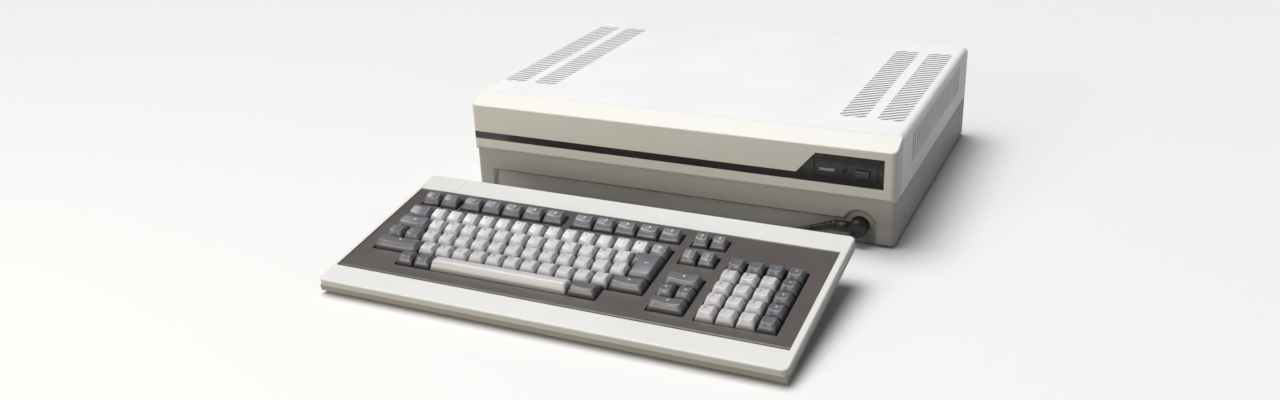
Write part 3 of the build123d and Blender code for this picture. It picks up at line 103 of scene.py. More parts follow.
def add_node(
    tree: bpy.types.NodeTree, kind: str, inputs: dict | None = None, **settings: object
) -> bpy.types.Node:
    """Adds a node with its settings, values and links.

    Args:
        tree: The node tree that gets the node.
        kind: The node's type name.
        inputs: Value, or output socket to link from, for each input by name or number.
        settings: Properties of the node itself.

    Returns:
        The new node.
    """
    node = tree.nodes.new(kind)
    for name, value in settings.items():
        setattr(node, name, value)
    for key, value in (inputs or {}).items():
        if isinstance(value, bpy.types.NodeSocket):
            tree.links.new(value, node.inputs[key])
        else:
            node.inputs[key].default_value = value
    return node


def new_material(name: str) -> tuple[bpy.types.Material, bpy.types.NodeTree]:
    """Makes an empty node material.

    Args:
        name: The finish's plain name.

    Returns:
        The material and its cleared node tree.
    """
    material = bpy.data.materials.new(name)
    material.use_nodes = True
    material.node_tree.nodes.clear()
    return material, material.node_tree


@dataclass(frozen=True)
class Grained:
    """A non-metal surface with a fine grain: moulded plastic, enamel, rubber.

    The grain gives the eye a dull, slightly broken highlight, and the slow drift of tone keeps
    a wide face from looking like flat paint.
    """

    name: str
    colour: str
    low_colour: str          # colour in the low spots of the grain
    roughness: float
    grain: float             # mm across one grain, drawn a little coarser than the real one
    depth: float             # mm
    ior: float = 1.5
    drift: float = 0.04      # how far the tone wanders across the piece
    drift_size: float = 90.0     # mm across one patch of it
    edge: float = 0.35       # mm radius that the mould leaves on a sharp edge
    coat: float = 0.0
    sheen_play: Pair = (-0.04, 0.05)     # how far the roughness wanders

    def material(self) -> bpy.types.Material:
        """Builds the node material.

        Returns:
            The material, named as the finish is.
        """
        material, tree = new_material(self.name)
        place = add_node(tree, "ShaderNodeTexCoord").outputs["Object"]
        grain = add_node(
            tree, "ShaderNodeTexNoise",
            {"Vector": place, "Scale": 1 / (self.grain * MM), "Detail": 2.0, "Roughness": 0.6},
        )
        patches = add_node(
            tree, "ShaderNodeTexNoise",
            {"Vector": place, "Scale": 1 / (self.drift_size * MM), "Detail": 3.0},
        )
        tone = add_node(
            tree, "ShaderNodeMapRange",
            {"Value": patches.outputs["Fac"], "From Min": 0.3, "From Max": 0.7,
             "To Min": 1 - self.drift, "To Max": 1 + self.drift / 2},
        )
        spread = add_node(
            tree, "ShaderNodeMapRange",
            {"Value": grain.outputs["Fac"], "From Min": 0.3, "From Max": 0.7},
        )
        blend = add_node(
            tree, "ShaderNodeMix",
            {0: spread.outputs["Result"], 6: linear(self.low_colour), 7: linear(self.colour)},
            data_type="RGBA",
        )
        toned = add_node(
            tree, "ShaderNodeVectorMath",
            {0: blend.outputs[2], "Scale": tone.outputs["Result"]}, operation="SCALE",
        )
        gloss = add_node(
            tree, "ShaderNodeMapRange",
            {"Value": patches.outputs["Fac"], "From Min": 0.25, "From Max": 0.75,
             "To Min": self.roughness + self.sheen_play[0],
             "To Max": self.roughness + self.sheen_play[1]},
        )
        soft_edge = add_node(tree, "ShaderNodeBevel", {"Radius": self.edge * MM}, samples=4)
        relief = add_node(
            tree, "ShaderNodeBump",
            {"Height": grain.outputs["Fac"], "Strength": 1.0, "Distance": self.depth * MM,
             "Normal": soft_edge.outputs["Normal"]},
        )
        shader = add_node(
            tree, "ShaderNodeBsdfPrincipled",
            {"Base Color": toned.outputs["Vector"], "Roughness": gloss.outputs["Result"],
             "IOR": self.ior, "Normal": relief.outputs["Normal"], "Coat Weight": self.coat},
        )
        add_node(tree, "ShaderNodeOutputMaterial", {"Surface": shader.outputs["BSDF"]})
        return material


@dataclass(frozen=True)
class Plated:
    """Bare or plated sheet metal: a soft grey mirror broken up by crystal patches or brushing."""

    name: str
    colour: str
    roughness: float
    patch: float             # mm across one crystal or brush mark
    stretch: float = 1.0     # how far the marks are drawn out along X
    sheen_play: Pair = (-0.08, 0.12)     # roughness from a crystal's middle to its edge
    depth: float = 0.03      # mm between the two
    edge: float = 0.2        # mm radius of a cut edge

    def material(self) -> bpy.types.Material:
        """Builds the node material.

        Returns:
            The material, named as the finish is.
        """
        material, tree = new_material(self.name)
        place = add_node(tree, "ShaderNodeTexCoord").outputs["Object"]
        turned = add_node(
            tree, "ShaderNodeMapping", {"Vector": place, "Scale": (1 / self.stretch, 1.0, 1.0)}
        )
        crystals = add_node(
            tree, "ShaderNodeTexVoronoi",
            {"Vector": turned.outputs["Vector"], "Scale": 1 / (self.patch * MM)},
        )
        gloss = add_node(
            tree, "ShaderNodeMapRange",
            {"Value": crystals.outputs["Distance"],
             "To Min": self.roughness + self.sheen_play[0],
             "To Max": self.roughness + self.sheen_play[1]},
        )
        soft_edge = add_node(tree, "ShaderNodeBevel", {"Radius": self.edge * MM}, samples=4)
        relief = add_node(
            tree, "ShaderNodeBump",
            {"Height": crystals.outputs["Distance"], "Strength": 0.3, "Distance": self.depth * MM,
             "Normal": soft_edge.outputs["Normal"]},
        )
        shader = add_node(
            tree, "ShaderNodeBsdfPrincipled",
            {"Base Color": linear(self.colour), "Metallic": 1.0,
             "Roughness": gloss.outputs["Result"], "Normal": relief.outputs["Normal"]},
        )
        add_node(tree, "ShaderNodeOutputMaterial", {"Surface": shader.outputs["BSDF"]})
        return material


@dataclass(frozen=True)
class SolderMask:
    """Glass-fibre board under green lacquer, with tracks showing through as paler lines."""

    name: str
    lacquer: str
    track: str
    pitch: float             # mm between tracks
    proud: float = 0.04      # mm that a track stands up

    def material(self) -> bpy.types.Material:
        """Builds the node material.

        Returns:
            The material, named as the finish is.
        """
        material, tree = new_material(self.name)
        place = add_node(tree, "ShaderNodeTexCoord").outputs["Object"]
        tracks = add_node(
            tree, "ShaderNodeTexBrick",
            {"Vector": place, "Scale": 1.0, "Brick Width": 9 * self.pitch * MM,
             "Row Height": self.pitch * MM, "Mortar Size": 0.25 * self.pitch * MM,
             "Color1": linear(self.lacquer), "Color2": linear(self.lacquer),
             "Mortar": linear(self.track)},
        )
        relief = add_node(
            tree, "ShaderNodeBump", {"Height": tracks.outputs["Fac"], "Distance": self.proud * MM}
        )
        shader = add_node(
            tree, "ShaderNodeBsdfPrincipled",
            {"Base Color": tracks.outputs["Color"], "Roughness": 0.3, "IOR": 1.55,
             "Normal": relief.outputs["Normal"]},
        )
        add_node(tree, "ShaderNodeOutputMaterial", {"Surface": shader.outputs["BSDF"]})
        return material


@dataclass(frozen=True)
class LampLens:
    """Unlit red lens of moulded acrylic: dark, clear and glossy, with fine prisms inside."""

    name: str
    colour: str
    prism: float             # mm between prisms
    depth: float = 0.2       # mm

    def material(self) -> bpy.types.Material:
        """Builds the node material.

        Returns:
            The material, named as the finish is.
        """
        material, tree = new_material(self.name)
        place = add_node(tree, "ShaderNodeTexCoord").outputs["Object"]
        prisms = add_node(
            tree, "ShaderNodeTexVoronoi", {"Vector": place, "Scale": 1 / (self.prism * MM)}
        )
        relief = add_node(
            tree, "ShaderNodeBump",
            {"Height": prisms.outputs["Distance"], "Strength": 0.4, "Distance": self.depth * MM},
        )
        shader = add_node(
            tree, "ShaderNodeBsdfPrincipled",
            {"Base Color": linear(self.colour), "Roughness": 0.12, "IOR": 1.49,
             "Transmission Weight": 0.35, "Normal": relief.outputs["Normal"]},
        )
        add_node(tree, "ShaderNodeOutputMaterial", {"Surface": shader.outputs["BSDF"]})
        return material


Finish = Grained | Plated | SolderMask | LampLens

# Stove enamel on pressed steel: near white, with the faint pebble of sprayed paint.
COVER_ENAMEL = Grained(
    "cover_stove_enamel", "#f1f2f3", "#e8e9ea", 0.42, 1.1, 0.012, ior=1.52, drift=0.02
)
# Spark-eroded ABS: matt and warm white, so that its front goes beige in the shade.
CASE_ABS = Grained("case_abs_moulding", "#dddcd8", "#d2d1cd", 0.5, 0.9, 0.02, ior=1.53, drift=0.02)
# The base is moulded in a darker grey of the same plastic. Its colour is darker still as painted shade,
# standing in for the keyboard's shadow on the lower front.
BASE_ABS_WITH_PAINTED_SHADE = Grained("base_abs_with_painted_shade", "#b4b3b0", "#a8a7a4", 0.55, 0.9, 0.025, ior=1.53)
# The same plastic, whiter, for the keyboard's shells.
KEYBOARD_ABS = Grained(
    "keyboard_abs_moulding", "#d2d3d2", "#c8c9c7", 0.45, 0.9, 0.02, ior=1.53, drift=0.02
)
KEYBOARD_BASE_ABS = Grained("keyboard_base_abs", "#aaa7a1", "#9e9b95", 0.48, 0.9, 0.02, ior=1.53)
# Satin baked paint: dark brown-grey, smooth enough to show the caps' reflections.
DECK_PAINT = Grained(
    "deck_satin_paint", "#544e4c", "#494442", 0.34, 1.4, 0.006, ior=1.45, drift=0.06
)
# Dull PBT with a very fine grain, which keeps the dished tops from glaring.
CAP_LIGHT_PBT = Grained(
    "cap_pbt_light", "#c2c1c4", "#b5b4b7", 0.3, 0.5, 0.008, ior=1.57, drift=0.03, drift_size=40
)
CAP_DARK_PBT = Grained(
    "cap_pbt_dark", "#67696f", "#5d5f64", 0.28, 0.5, 0.008, ior=1.57, drift=0.05, drift_size=40
)
# Pad-printed ink: dull and flat, so that a sign reads as print and not as a groove.
LEGEND_DARK = Grained("legend_dark_ink", "#4b4b52", "#43434a", 0.5, 0.4, 0.002, edge=0.02)
LEGEND_LIGHT = Grained("legend_white_ink", "#f0f0f2", "#e2e2e6", 0.5, 0.4, 0.002, edge=0.02)
# Acrylic strip printed black from behind: glossy, with soft grey reflections.
INLAY_ACRYLIC = Grained(
    "inlay_black_acrylic", "#26292b", "#212426", 0.2, 1.6, 0.004, ior=1.49, coat=0.3, edge=0.2
)
# Moulded nylon: near black and half matt, so that the socket reads as a dark hole.
BLACK_NYLON = Grained("black_nylon_moulding", "#1f2021", "#191a1b", 0.5, 0.7, 0.02)
# Moulded ABS, a shade paler than the inlay, which sets the button off from it.
BUTTON_ABS = Grained("button_grey_abs", "#3b3d40", "#333538", 0.4, 0.6, 0.01, edge=0.25)
# Extruded soft PVC: black, with the broad sheen of a supple skin.
CORD_PVC = Grained("cord_black_pvc", "#131516", "#0f1112", 0.42, 1.2, 0.02, ior=1.52)
# Pressed rubber: the dullest surface of all.
FOOT_RUBBER = Grained("foot_black_rubber", "#2a2a2a", "#222222", 0.75, 0.8, 0.05, ior=1.52)
# Moulded nylon of the switch housings, dark enough to vanish between the caps.
SWITCH_NYLON = Grained("switch_nylon", "#2c2b2a", "#262524", 0.45, 0.6, 0.01)
# Hot-dipped zinc on pressed sheet: a soft grey mirror in crystal patches.
GALVANISED = Plated("galvanised_sheet", "#b9bbbc", 0.38, 6.0)
# Bright zinc on turned screws, a little warmer than the sheet.
ZINC_SCREW = Plated("zinc_plated_screw", "#c6c3b8", 0.3, 1.5)
# Brushed aluminium: its fine marks draw each highlight out sideways.
BRUSHED_ALUMINIUM = Plated("brushed_aluminium", "#c9cacb", 0.32, 0.4, stretch=40.0)
# Printed board under solder lacquer: glossy green over paler tracks.
BOARD = SolderMask("board_green_lacquer", "#1d4a31", "#3a7a4c", 1.27)
# Moulded acrylic lens, unlit: almost black, with a glint of red.
LAMP_LENS = LampLens("lamp_red_acrylic", "#170a0a", 0.6)
# Nickel plating on connector shells and pins: a bright, slightly yellow grey.
NICKEL = Plated("nickel_plating", "#c4bfb2", 0.25, 0.8)
# Gloss varnish over the black inlay, which sets the switch field's line off by its shine.
FIELD_VARNISH = Grained("field_black_varnish", "#0f1114", "#0b0c0f", 0.22, 0.4, 0.001, edge=0.02)
# Screen-printed white ink on the inlay.
PANEL_INK = Grained("panel_white_ink", "#dcdee2", "#cfd1d6", 0.5, 0.4, 0.002, edge=0.02)

# finish of every node but the key caps, whether it is seen or a new piece stands for it
NODE_FINISHES: dict[str, Finish] = {
    "top_cover": COVER_ENAMEL,
    "front_bezel": CASE_ABS,
    # the base's colour is partly its darker plastic and partly painted shade on its lower front
    "lower_case": BASE_ABS_WITH_PAINTED_SHADE,
    "black_trim": INLAY_ACRYLIC,
    "power_button": BUTTON_ABS,
    "power_switch": BLACK_NYLON,
    "power_lamp": LAMP_LENS,
    "keyboard_socket": BLACK_NYLON,
    "rubber_feet": FOOT_RUBBER,
    "cover_screws": ZINC_SCREW,
    "rear_panel": GALVANISED,
    "slot_covers": BRUSHED_ALUMINIUM,
    "rear_ports": NICKEL,
    "power_supply": GALVANISED,
    "fan_frame": BLACK_NYLON,
    "fan_rotor": BLACK_NYLON,
    "main_board": BOARD,
    "card_cage": GALVANISED,
    "cord_plug": CORD_PVC,
    "keyboard_cord": CORD_PVC,
    "cord_relief": CORD_PVC,
    "kb_upper_case": KEYBOARD_ABS,
    "kb_corner_cover": KEYBOARD_ABS,
    "kb_lower_case": KEYBOARD_BASE_ABS,
    "kb_deck": DECK_PAINT,
    "switch_plate": GALVANISED,
    "key_switches": SWITCH_NYLON,
    "kb_board": BOARD,
    "kb_front_feet": FOOT_RUBBER,
    "kb_leg_left": KEYBOARD_BASE_ABS,
    "kb_leg_right": KEYBOARD_BASE_ABS,
}
LIGHT_CAPS = ("keys_figures", "keys_upper", "keys_home", "keys_lower", "numpad_light", "key_space")


class Wardrobe:
    """Makes each finish's material once and hands it out."""

    def __init__(self) -> None:
        """Starts with nothing made."""
        self.made: dict[str, bpy.types.Material] = {}

    def get(self, finish: Finish) -> bpy.types.Material:
        """Returns the finish's material, building it the first time.

        Args:
            finish: One of the finishes above.

        Returns:
            The shared material.
        """
        if finish.name not in self.made:
            self.made[finish.name] = finish.material()
        return self.made[finish.name]

    def dress(self, piece: bpy.types.Object, finish: Finish) -> None:
        """Gives a piece one finish all over.

        Args:
            piece: A mesh or curve object.
            finish: Its finish.
        """
        piece.data.materials.clear()
        piece.data.materials.append(self.get(finish))


# ------------------------------------------------------------------ mesh helpers
def linked(name: str, data: bpy.types.ID) -> bpy.types.Object:
    """Makes an object and links it to the scene.

    Args:
        name: The object's name.
        data: Its mesh, curve, camera or light.

    Returns:
        The object at the origin.
    """
    piece = bpy.data.objects.new(name, data)
    bpy.context.scene.collection.objects.link(piece)
    return piece


def mesh_object(
    name: str, points: list[Vector], faces: list[list[int]], smooth: bool
) -> bpy.types.Object:
    """Makes an object at the origin from points and faces.

    Args:
        name: The piece's name.
        points: Corners in metres.
        faces: Corner numbers of each face, anticlockwise seen from outside.
        smooth: Whether the faces are shaded smooth.

    Returns:
        The new object, linked to the scene.
    """
    mesh = bpy.data.meshes.new(name)
    mesh.from_pydata([tuple(point) for point in points], [], faces)
    mesh.polygons.foreach_set("use_smooth", [smooth] * len(mesh.polygons))
    mesh.update()
    return linked(name, mesh)


def bridge(rings: list[list[int]]) -> list[list[int]]:
    """Joins rings of corners, each as long as the next, with quads.

    Args:
        rings: Corner numbers of each ring, anticlockwise seen from the end of the last one.

    Returns:
        The faces between neighbouring rings.
    """
    faces = []
    for low, high in zip(rings, rings[1:]):
        count = len(low)
        for at in range(count):
            after = (at + 1) % count
            faces.append([low[at], low[after], high[after], high[at]])
    return faces


def lathe(name: str, profile: Outline, place: Matrix, segments: int = 40) -> bpy.types.Object:
    """Turns a profile about its own Z axis and puts it in place.

    Args:
        name: The piece's name.
        profile: Radius and height of each corner in mm, from the foot to the top.
        place: Turns and moves the piece from its own axis into the frame.
        segments: Flats round the axis.

    Returns:
        A closed turned piece.
    """
    points, rings = [], []
    for radius, height in profile:
        ring = []
        for step in range(segments):
            angle = 2 * pi * step / segments
            ring.append(len(points))
            points.append(place @ (Vector((radius * cos(angle), radius * sin(angle), height)) * MM))
        rings.append(ring)
    faces = bridge(rings)
    faces.append(list(reversed(rings[0])))
    faces.append(rings[-1])
    return mesh_object(name, points, faces, smooth=True)


def placed(at: Triple | Vector, towards: Triple) -> Matrix:
    """Finds the place of a turned piece's axis.

    Args:
        at: The axis's foot in mm.
        towards: The way that the axis points.

    Returns:
        Matrix that turns Z to that way and moves the origin to the foot, in metres.
    """
    turn = Vector(towards).to_track_quat("Z", "Y").to_matrix().to_4x4()
    return Matrix.Translation(Vector(at) * MM) @ turn


def joined(name: str, pieces: list[bpy.types.Object]) -> bpy.types.Object:
    """Joins several mesh objects at the origin into one.

    Args:
        name: Name of the result.
        pieces: Objects to join, which are used up.

    Returns:
        The joined object.
    """
    mesh = bpy.data.meshes.new(name)
    build = bmesh.new()
    materials = []
    for piece in pieces:
        first = len(build.faces)
        for material in piece.data.materials:
            if material not in materials:
                materials.append(material)
        build.from_mesh(piece.data)
        build.faces.ensure_lookup_table()
        for face in build.faces[first:]:
            if piece.data.materials:
                face.material_index = materials.index(piece.data.materials[face.material_index])
    build.to_mesh(mesh)
    build.free()
    for material in materials:
        mesh.materials.append(material)
    for piece in pieces:
        bpy.data.objects.remove(piece)
    return linked(name, mesh)


class Repeater:
    """Geometry Nodes tree that sets copies of one pattern piece on a layout's points.

    The layout's points carry two attributes: "turn", each copy's own turn in radians, and
    "share", its size against the pattern's.
    """

    def __init__(self) -> None:
        """Builds the tree once, with named inputs."""
        self.tree = bpy.data.node_groups.new("copies_on_points", "GeometryNodeTree")
        face = self.tree.interface
        face.new_socket("Geometry", in_out="INPUT", socket_type="NodeSocketGeometry")
        face.new_socket("Pattern", in_out="INPUT", socket_type="NodeSocketObject")
        face.new_socket("Tilt", in_out="INPUT", socket_type="NodeSocketVector")
        face.new_socket("Play", in_out="INPUT", socket_type="NodeSocketFloat")
        face.new_socket("Seed", in_out="INPUT", socket_type="NodeSocketInt")
        face.new_socket("Finish", in_out="INPUT", socket_type="NodeSocketMaterial")
        face.new_socket("Geometry", in_out="OUTPUT", socket_type="NodeSocketGeometry")
        given = add_node(self.tree, "NodeGroupInput").outputs
        pattern = add_node(self.tree, "GeometryNodeObjectInfo", {"Object": given["Pattern"]})
        lowest = add_node(
            self.tree, "ShaderNodeVectorMath", {0: given["Play"], 1: (-1.0, -1.0, -1.0)},
            operation="MULTIPLY",
        )
        wobble = add_node(
            self.tree, "FunctionNodeRandomValue",
            {"Min": lowest.outputs["Vector"], "Max": given["Play"], "Seed": given["Seed"]},
            data_type="FLOAT_VECTOR",
        )
        common = add_node(
            self.tree, "ShaderNodeVectorMath",
            {0: given["Tilt"], 1: wobble.outputs[0]}, operation="ADD",
        )
        own = add_node(
            self.tree, "GeometryNodeInputNamedAttribute", {"Name": "turn"},
            data_type="FLOAT_VECTOR",
        )
        turn = add_node(
            self.tree, "ShaderNodeVectorMath",
            {0: common.outputs["Vector"], 1: own.outputs["Attribute"]}, operation="ADD",
        )
        share = add_node(
            self.tree, "GeometryNodeInputNamedAttribute", {"Name": "share"}, data_type="FLOAT"
        )
        copies = add_node(
            self.tree, "GeometryNodeInstanceOnPoints",
            {"Points": given["Geometry"], "Instance": pattern.outputs["Geometry"],
             "Rotation": turn.outputs["Vector"], "Scale": share.outputs["Attribute"]},
        )
        solid = add_node(self.tree, "GeometryNodeRealizeInstances", {0: copies.outputs[0]})
        painted = add_node(
            self.tree, "GeometryNodeSetMaterial",
            {"Geometry": solid.outputs[0], "Material": given["Finish"]},
        )
        add_node(self.tree, "NodeGroupOutput", {"Geometry": painted.outputs["Geometry"]})

    def place(
        self, name: str, pattern: bpy.types.Object, spots: list[Vector], finish: bpy.types.Material,
        tilt: Triple = (0.0, 0.0, 0.0), play: float = 0.0, seed: int = 1,
        turns: list[Triple] | None = None, shares: list[float] | None = None,
    ) -> bpy.types.Object:
        """Sets copies of a pattern piece on the given spots as one plain mesh.

        Args:
            name: Name of the result.
            pattern: The piece to copy, about the origin, which is used up.
            spots: Where each copy's origin goes, in metres.
            finish: Material of all copies.
            tilt: Turn of each copy in radians about X, Y and Z.
            play: How far each copy may turn by chance, in radians.
            seed: Number that fixes those chances.
            turns: Further turn of each copy.
            shares: Size of each copy against the pattern's.

        Returns:
            One mesh object with all copies.
        """
        host = mesh_object(f"{name}_layout", spots, [], smooth=False)
        own_turn = host.data.attributes.new("turn", "FLOAT_VECTOR", "POINT")
        for item, turn in zip(own_turn.data, turns or [(0.0, 0.0, 0.0)] * len(spots)):
            item.vector = turn
        share = host.data.attributes.new("share", "FLOAT", "POINT")
        share.data.foreach_set("value", shares or [1.0] * len(spots))
        modifier = host.modifiers.new("copies", "NODES")
        modifier.node_group = self.tree
        values = {"Pattern": pattern, "Tilt": tilt, "Play": play, "Seed": seed, "Finish": finish}
        for item in self.tree.interface.items_tree:
            if item.in_out == "INPUT" and item.name in values:
                modifier[item.identifier] = values[item.name]
        bpy.context.view_layer.update()
        graph = bpy.context.evaluated_depsgraph_get()
        mesh = bpy.data.meshes.new_from_object(host.evaluated_get(graph))
        mesh.name = name
        host.modifiers.remove(modifier)
        bpy.data.objects.remove(host)
        bpy.data.objects.remove(pattern)
        return linked(name, mesh)


def sign(text: str, size: float) -> bpy.types.Mesh:
    """Makes a flat sign about its middle, in millimetres.

    Args:
        text: What it shows.
        size: Height of a line in mm.

    Returns:
        The sign's mesh.
    """
    curve = bpy.data.curves.new("sign", "FONT")
    curve.body = text
    curve.size = size
    curve.resolution_u = 2
    curve.align_x = "CENTER"
    curve.align_y = "CENTER"
    piece = linked("sign", curve)
    bpy.context.view_layer.update()
    flat = bpy.data.meshes.new_from_object(
        piece.evaluated_get(bpy.context.evaluated_depsgraph_get())
    )
    bpy.data.objects.remove(piece)
    return flat


# ------------------------------------------------------------------ keyboard's own frame
@dataclass(frozen=True)
class KeyboardFrame:
    """The tilted keyboard: u runs right, v runs back and w runs up from its top face."""

    tilt: float = 8.5        # degrees
    key_zero_u: float = 57.9975     # centre of the figure-one key from the case's left and front
    key_zero_v: float = 131.5
    pitch: float = 19.05
    cap_rim: float = -2.2    # foot of the caps below the top face
    width: float = 476.0
    front_h: float = 17.0
    reach: float = 291.0     # from the main unit's lower front to the keyboard's front edge

    def point(self, u: float, v: float, w: float) -> Vector:
        """Turns a place on the keyboard into one in the frame.

        Args:
            u: Millimetres to the right of the case's left edge.
            v: Millimetres behind its front edge, along its top face.
            w: Millimetres above that face.

        Returns:
            The same place in metres.
        """
        low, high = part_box("kb_upper_case")
        lean = radians(self.tilt)
        left = (low.x + high.x) / 2 / MM - self.width / 2
        front = self.front_edge()
        return Vector((
            left + u,
            front + v * cos(lean) - w * sin(lean),
            self.front_h + v * sin(lean) + w * cos(lean),
        )) * MM

    def turn(self) -> Triple:
        """Gives the turn about X, Y and Z in radians of a piece that stands on the keyboard."""
        return radians(self.tilt), 0.0, 0.0

    def front_edge(self) -> float:
        """Finds the front top edge's Y in mm from the main unit's face and the reach."""
        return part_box("lower_case")[0].y / MM - self.reach

    def key(self, column: float, row: float, lift: float = 0.0) -> Vector:
        """Finds the place of a cap's foot.

        Args:
            column: Key pitches to the right of the figure-one key.
            row: Key pitches behind it.
            lift: Millimetres above the caps' foot.

        Returns:
            The place in metres.
        """
        return self.point(
            self.key_zero_u + column * self.pitch, self.key_zero_v + row * self.pitch,
            self.cap_rim + lift,
        )


# ------------------------------------------------------------------ key caps
@dataclass(frozen=True)
class CapShape:
    """One moulded key cap, about the middle of its own rim. Millimetres."""

    corners: tuple[Pair, ...]      # rim's corners, anticlockwise
    row: Row = Row.HOME
    spare: float = 0.0       # how far the top reaches past a one-pitch cap, front and back
    lean: float = 3.1        # how far the sides lean in
    dish: float = 1.15       # depth of the finger dish
    rim_r: float = 1.1       # standing corners at the rim
    top_r: float = 2.9       # and at the top
    edge_r: float = 0.9      # soft edge round the top
    crown: float = 0.0       # how far a bar's top arches up along its depth
    corner_steps: int = 4
    side_steps: int = 5
    edge_turns: tuple[int, ...] = (35, 65, 90)       # degrees round the soft edge
    top_shares: tuple[float, ...] = (0.66, 0.33)     # rings of the top, from its edge to its middle

    def span(self) -> tuple[float, float, float, float]:
        """Measures the rim.

        Returns:
            Its left, right, front and back side in mm.
        """
        xs = [x for x, _ in self.corners]
        ys = [y for _, y in self.corners]
        return min(xs), max(xs), min(ys), max(ys)

    def insets(self, share: float, extra: float) -> dict[str, float]:
        """Works out how far each side has moved in at a height.

        Args:
            share: Height as a share of the way from rim to top.
            extra: Further inset on all sides in mm.

        Returns:
            Inset in mm for the sides facing left, right, front and back.
        """
        _, _, front, back = self.span()
        top_front, top_back, _, _ = self.row.value
        return {
            "left": share * self.lean + extra,
            "right": share * self.lean + extra,
            "front": share * (top_front - self.spare - front) + extra,
            "back": share * (back - top_back - self.spare) + extra,
        }

    def outline(self, share: float, extra: float, radius: float) -> Outline:
        """Draws the cap's rounded outline at one height.

        Args:
            share: Height as a share of the way from rim to top.
            extra: Further inset on all sides in mm.
            radius: Corner radius in mm.

        Returns:
            Points anticlockwise, the same number at every height.
        """
        inset = self.insets(share, extra)
        count = len(self.corners)
        moved = []
        for at, corner in enumerate(self.corners):
            before = self.corners[at - 1]
            after = self.corners[(at + 1) % count]
            moved.append(self.moved_corner(before, corner, after, inset))
        points: Outline = []
        for at in range(count):
            before, corner, after = moved[at - 1], moved[at], moved[(at + 1) % count]
            start = Vector((before[0] - corner[0], before[1] - corner[1])).normalized()
            end = Vector((after[0] - corner[0], after[1] - corner[1])).normalized()
            centre = Vector(corner) + (start + end) * radius
            for step in range(self.corner_steps + 1):
                turn = pi / 2 * step / self.corner_steps
                spot = centre - end * radius * cos(turn) - start * radius * sin(turn)
                points.append((spot.x, spot.y))
            run = Vector(after) - Vector(corner) - 2 * radius * end
            for step in range(1, self.side_steps + 1):
                spot = Vector(corner) + end * radius + run * step / (self.side_steps + 1)
                points.append((spot.x, spot.y))
        return points

    @staticmethod
    def moved_corner(before: Pair, corner: Pair, after: Pair, inset: dict[str, float]) -> Pair:
        """Moves a square corner in with the two sides that meet there.

        Args:
            before: The corner before it.
            corner: The corner.
            after: The corner after it.
            inset: Inset of the sides by the way they face.

        Returns:
            The corner's new place.
        """
        x, y = corner
        for start, end in ((before, corner), (corner, after)):
            if abs(end[0] - start[0]) > abs(end[1] - start[1]):
                y += inset["front"] if end[0] > start[0] else -inset["back"]
            else:
                x += -inset["right"] if end[1] > start[1] else inset["left"]
        return x, y

    def top_height(self, x: float, y: float) -> float:
        """Works out the height of the dished or crowned top face.

        Args:
            x: Place from left to right in mm.
            y: Place from front to back in mm.

        Returns:
            Height over the rim in mm.
        """
        top_front, top_back, front_h, back_h = self.row.value
        top_front -= self.spare
        top_back += self.spare
        height = front_h + (back_h - front_h) * (y - top_front) / (top_back - top_front)
        left, right, _, _ = self.span()
        half = (right - left) / 2 - self.lean
        across = (x - (left + right) / 2) / half
        height -= self.dish * max(0.0, 1 - across * across)
        along = (2 * y - top_front - top_back) / (top_back - top_front)
        return height + self.crown * max(0.0, 1 - along * along)

    def side_ring(self, share: float) -> list[Triple]:
        """Places one ring of the sides.

        Args:
            share: Height as a share of the way from rim to top.

        Returns:
            Its corners in mm.
        """
        rim, top = self.outline(0, 0, self.rim_r), self.outline(1, 0, self.top_r)
        return [
            (a[0] + (b[0] - a[0]) * share, a[1] + (b[1] - a[1]) * share, share * self.top_height(*b))
            for a, b in zip(rim, top)
        ]

    def edge_ring(self, degrees: float) -> list[Triple]:
        """Places one ring of the soft edge round the top.

        Args:
            degrees: How far round the edge it lies.

        Returns:
            Its corners in mm.
        """
        turn = radians(degrees)
        extra, drop = self.edge_r * (1 - cos(turn)), self.edge_r * (1 - sin(turn))
        spots = self.outline(1, extra, self.top_r - extra)
        return [(x, y, self.top_height(x, y) - drop) for x, y in spots]

    def top_ring(self, share: float) -> list[Triple]:
        """Places one ring of the top face.

        Args:
            share: Its size against the top's edge; nought gives the middle.

        Returns:
            Its corners in mm.
        """
        edge = self.outline(1, self.edge_r, self.top_r - self.edge_r)
        left, right, _, _ = self.span()
        mid_x, mid_y = (left + right) / 2, sum(y for _, y in edge) / len(edge)
        spots = [(mid_x + (x - mid_x) * share, mid_y + (y - mid_y) * share) for x, y in edge]
        return [(x, y, self.top_height(x, y)) for x, y in spots]

    def build(self, name: str) -> bpy.types.Object:
        """Builds the cap as one closed, smooth shell.

        Args:
            name: Name of the pattern piece.

        Returns:
            The cap about the origin.
        """
        wall_top = 1 - self.edge_r / max(self.row.value[2:])
        layers = [self.side_ring(share) for share in (0.0, 0.5, wall_top)]
        layers += [self.edge_ring(degrees) for degrees in self.edge_turns]
        outer = len(layers)
        curved = bool(self.dish or self.crown)
        if curved:
            layers += [self.top_ring(share) for share in self.top_shares]
        points = [Vector(spot) * MM for layer in layers for spot in layer]
        count = len(layers[0])
        rings = [list(range(first, first + count)) for first in range(0, len(points), count)]
        faces = bridge(rings[:outer]) + [list(reversed(rings[0]))] + bridge(rings[outer - 1:])
        last = rings[-1]
        if curved:
            points.append(Vector(self.top_ring(0.0)[0]) * MM)
            faces += [[last[at], last[(at + 1) % count], len(points) - 1] for at in range(count)]
        else:
            faces.append(last)
        return mesh_object(name, points, faces, smooth=True)


@dataclass(frozen=True)
class KeySpec:
    """One key's place in key pitches from the figure-one key, and its legend."""

    left: float
    right: float
    line: float              # middle of the key, counted back from the figures row
    legend: str = ""


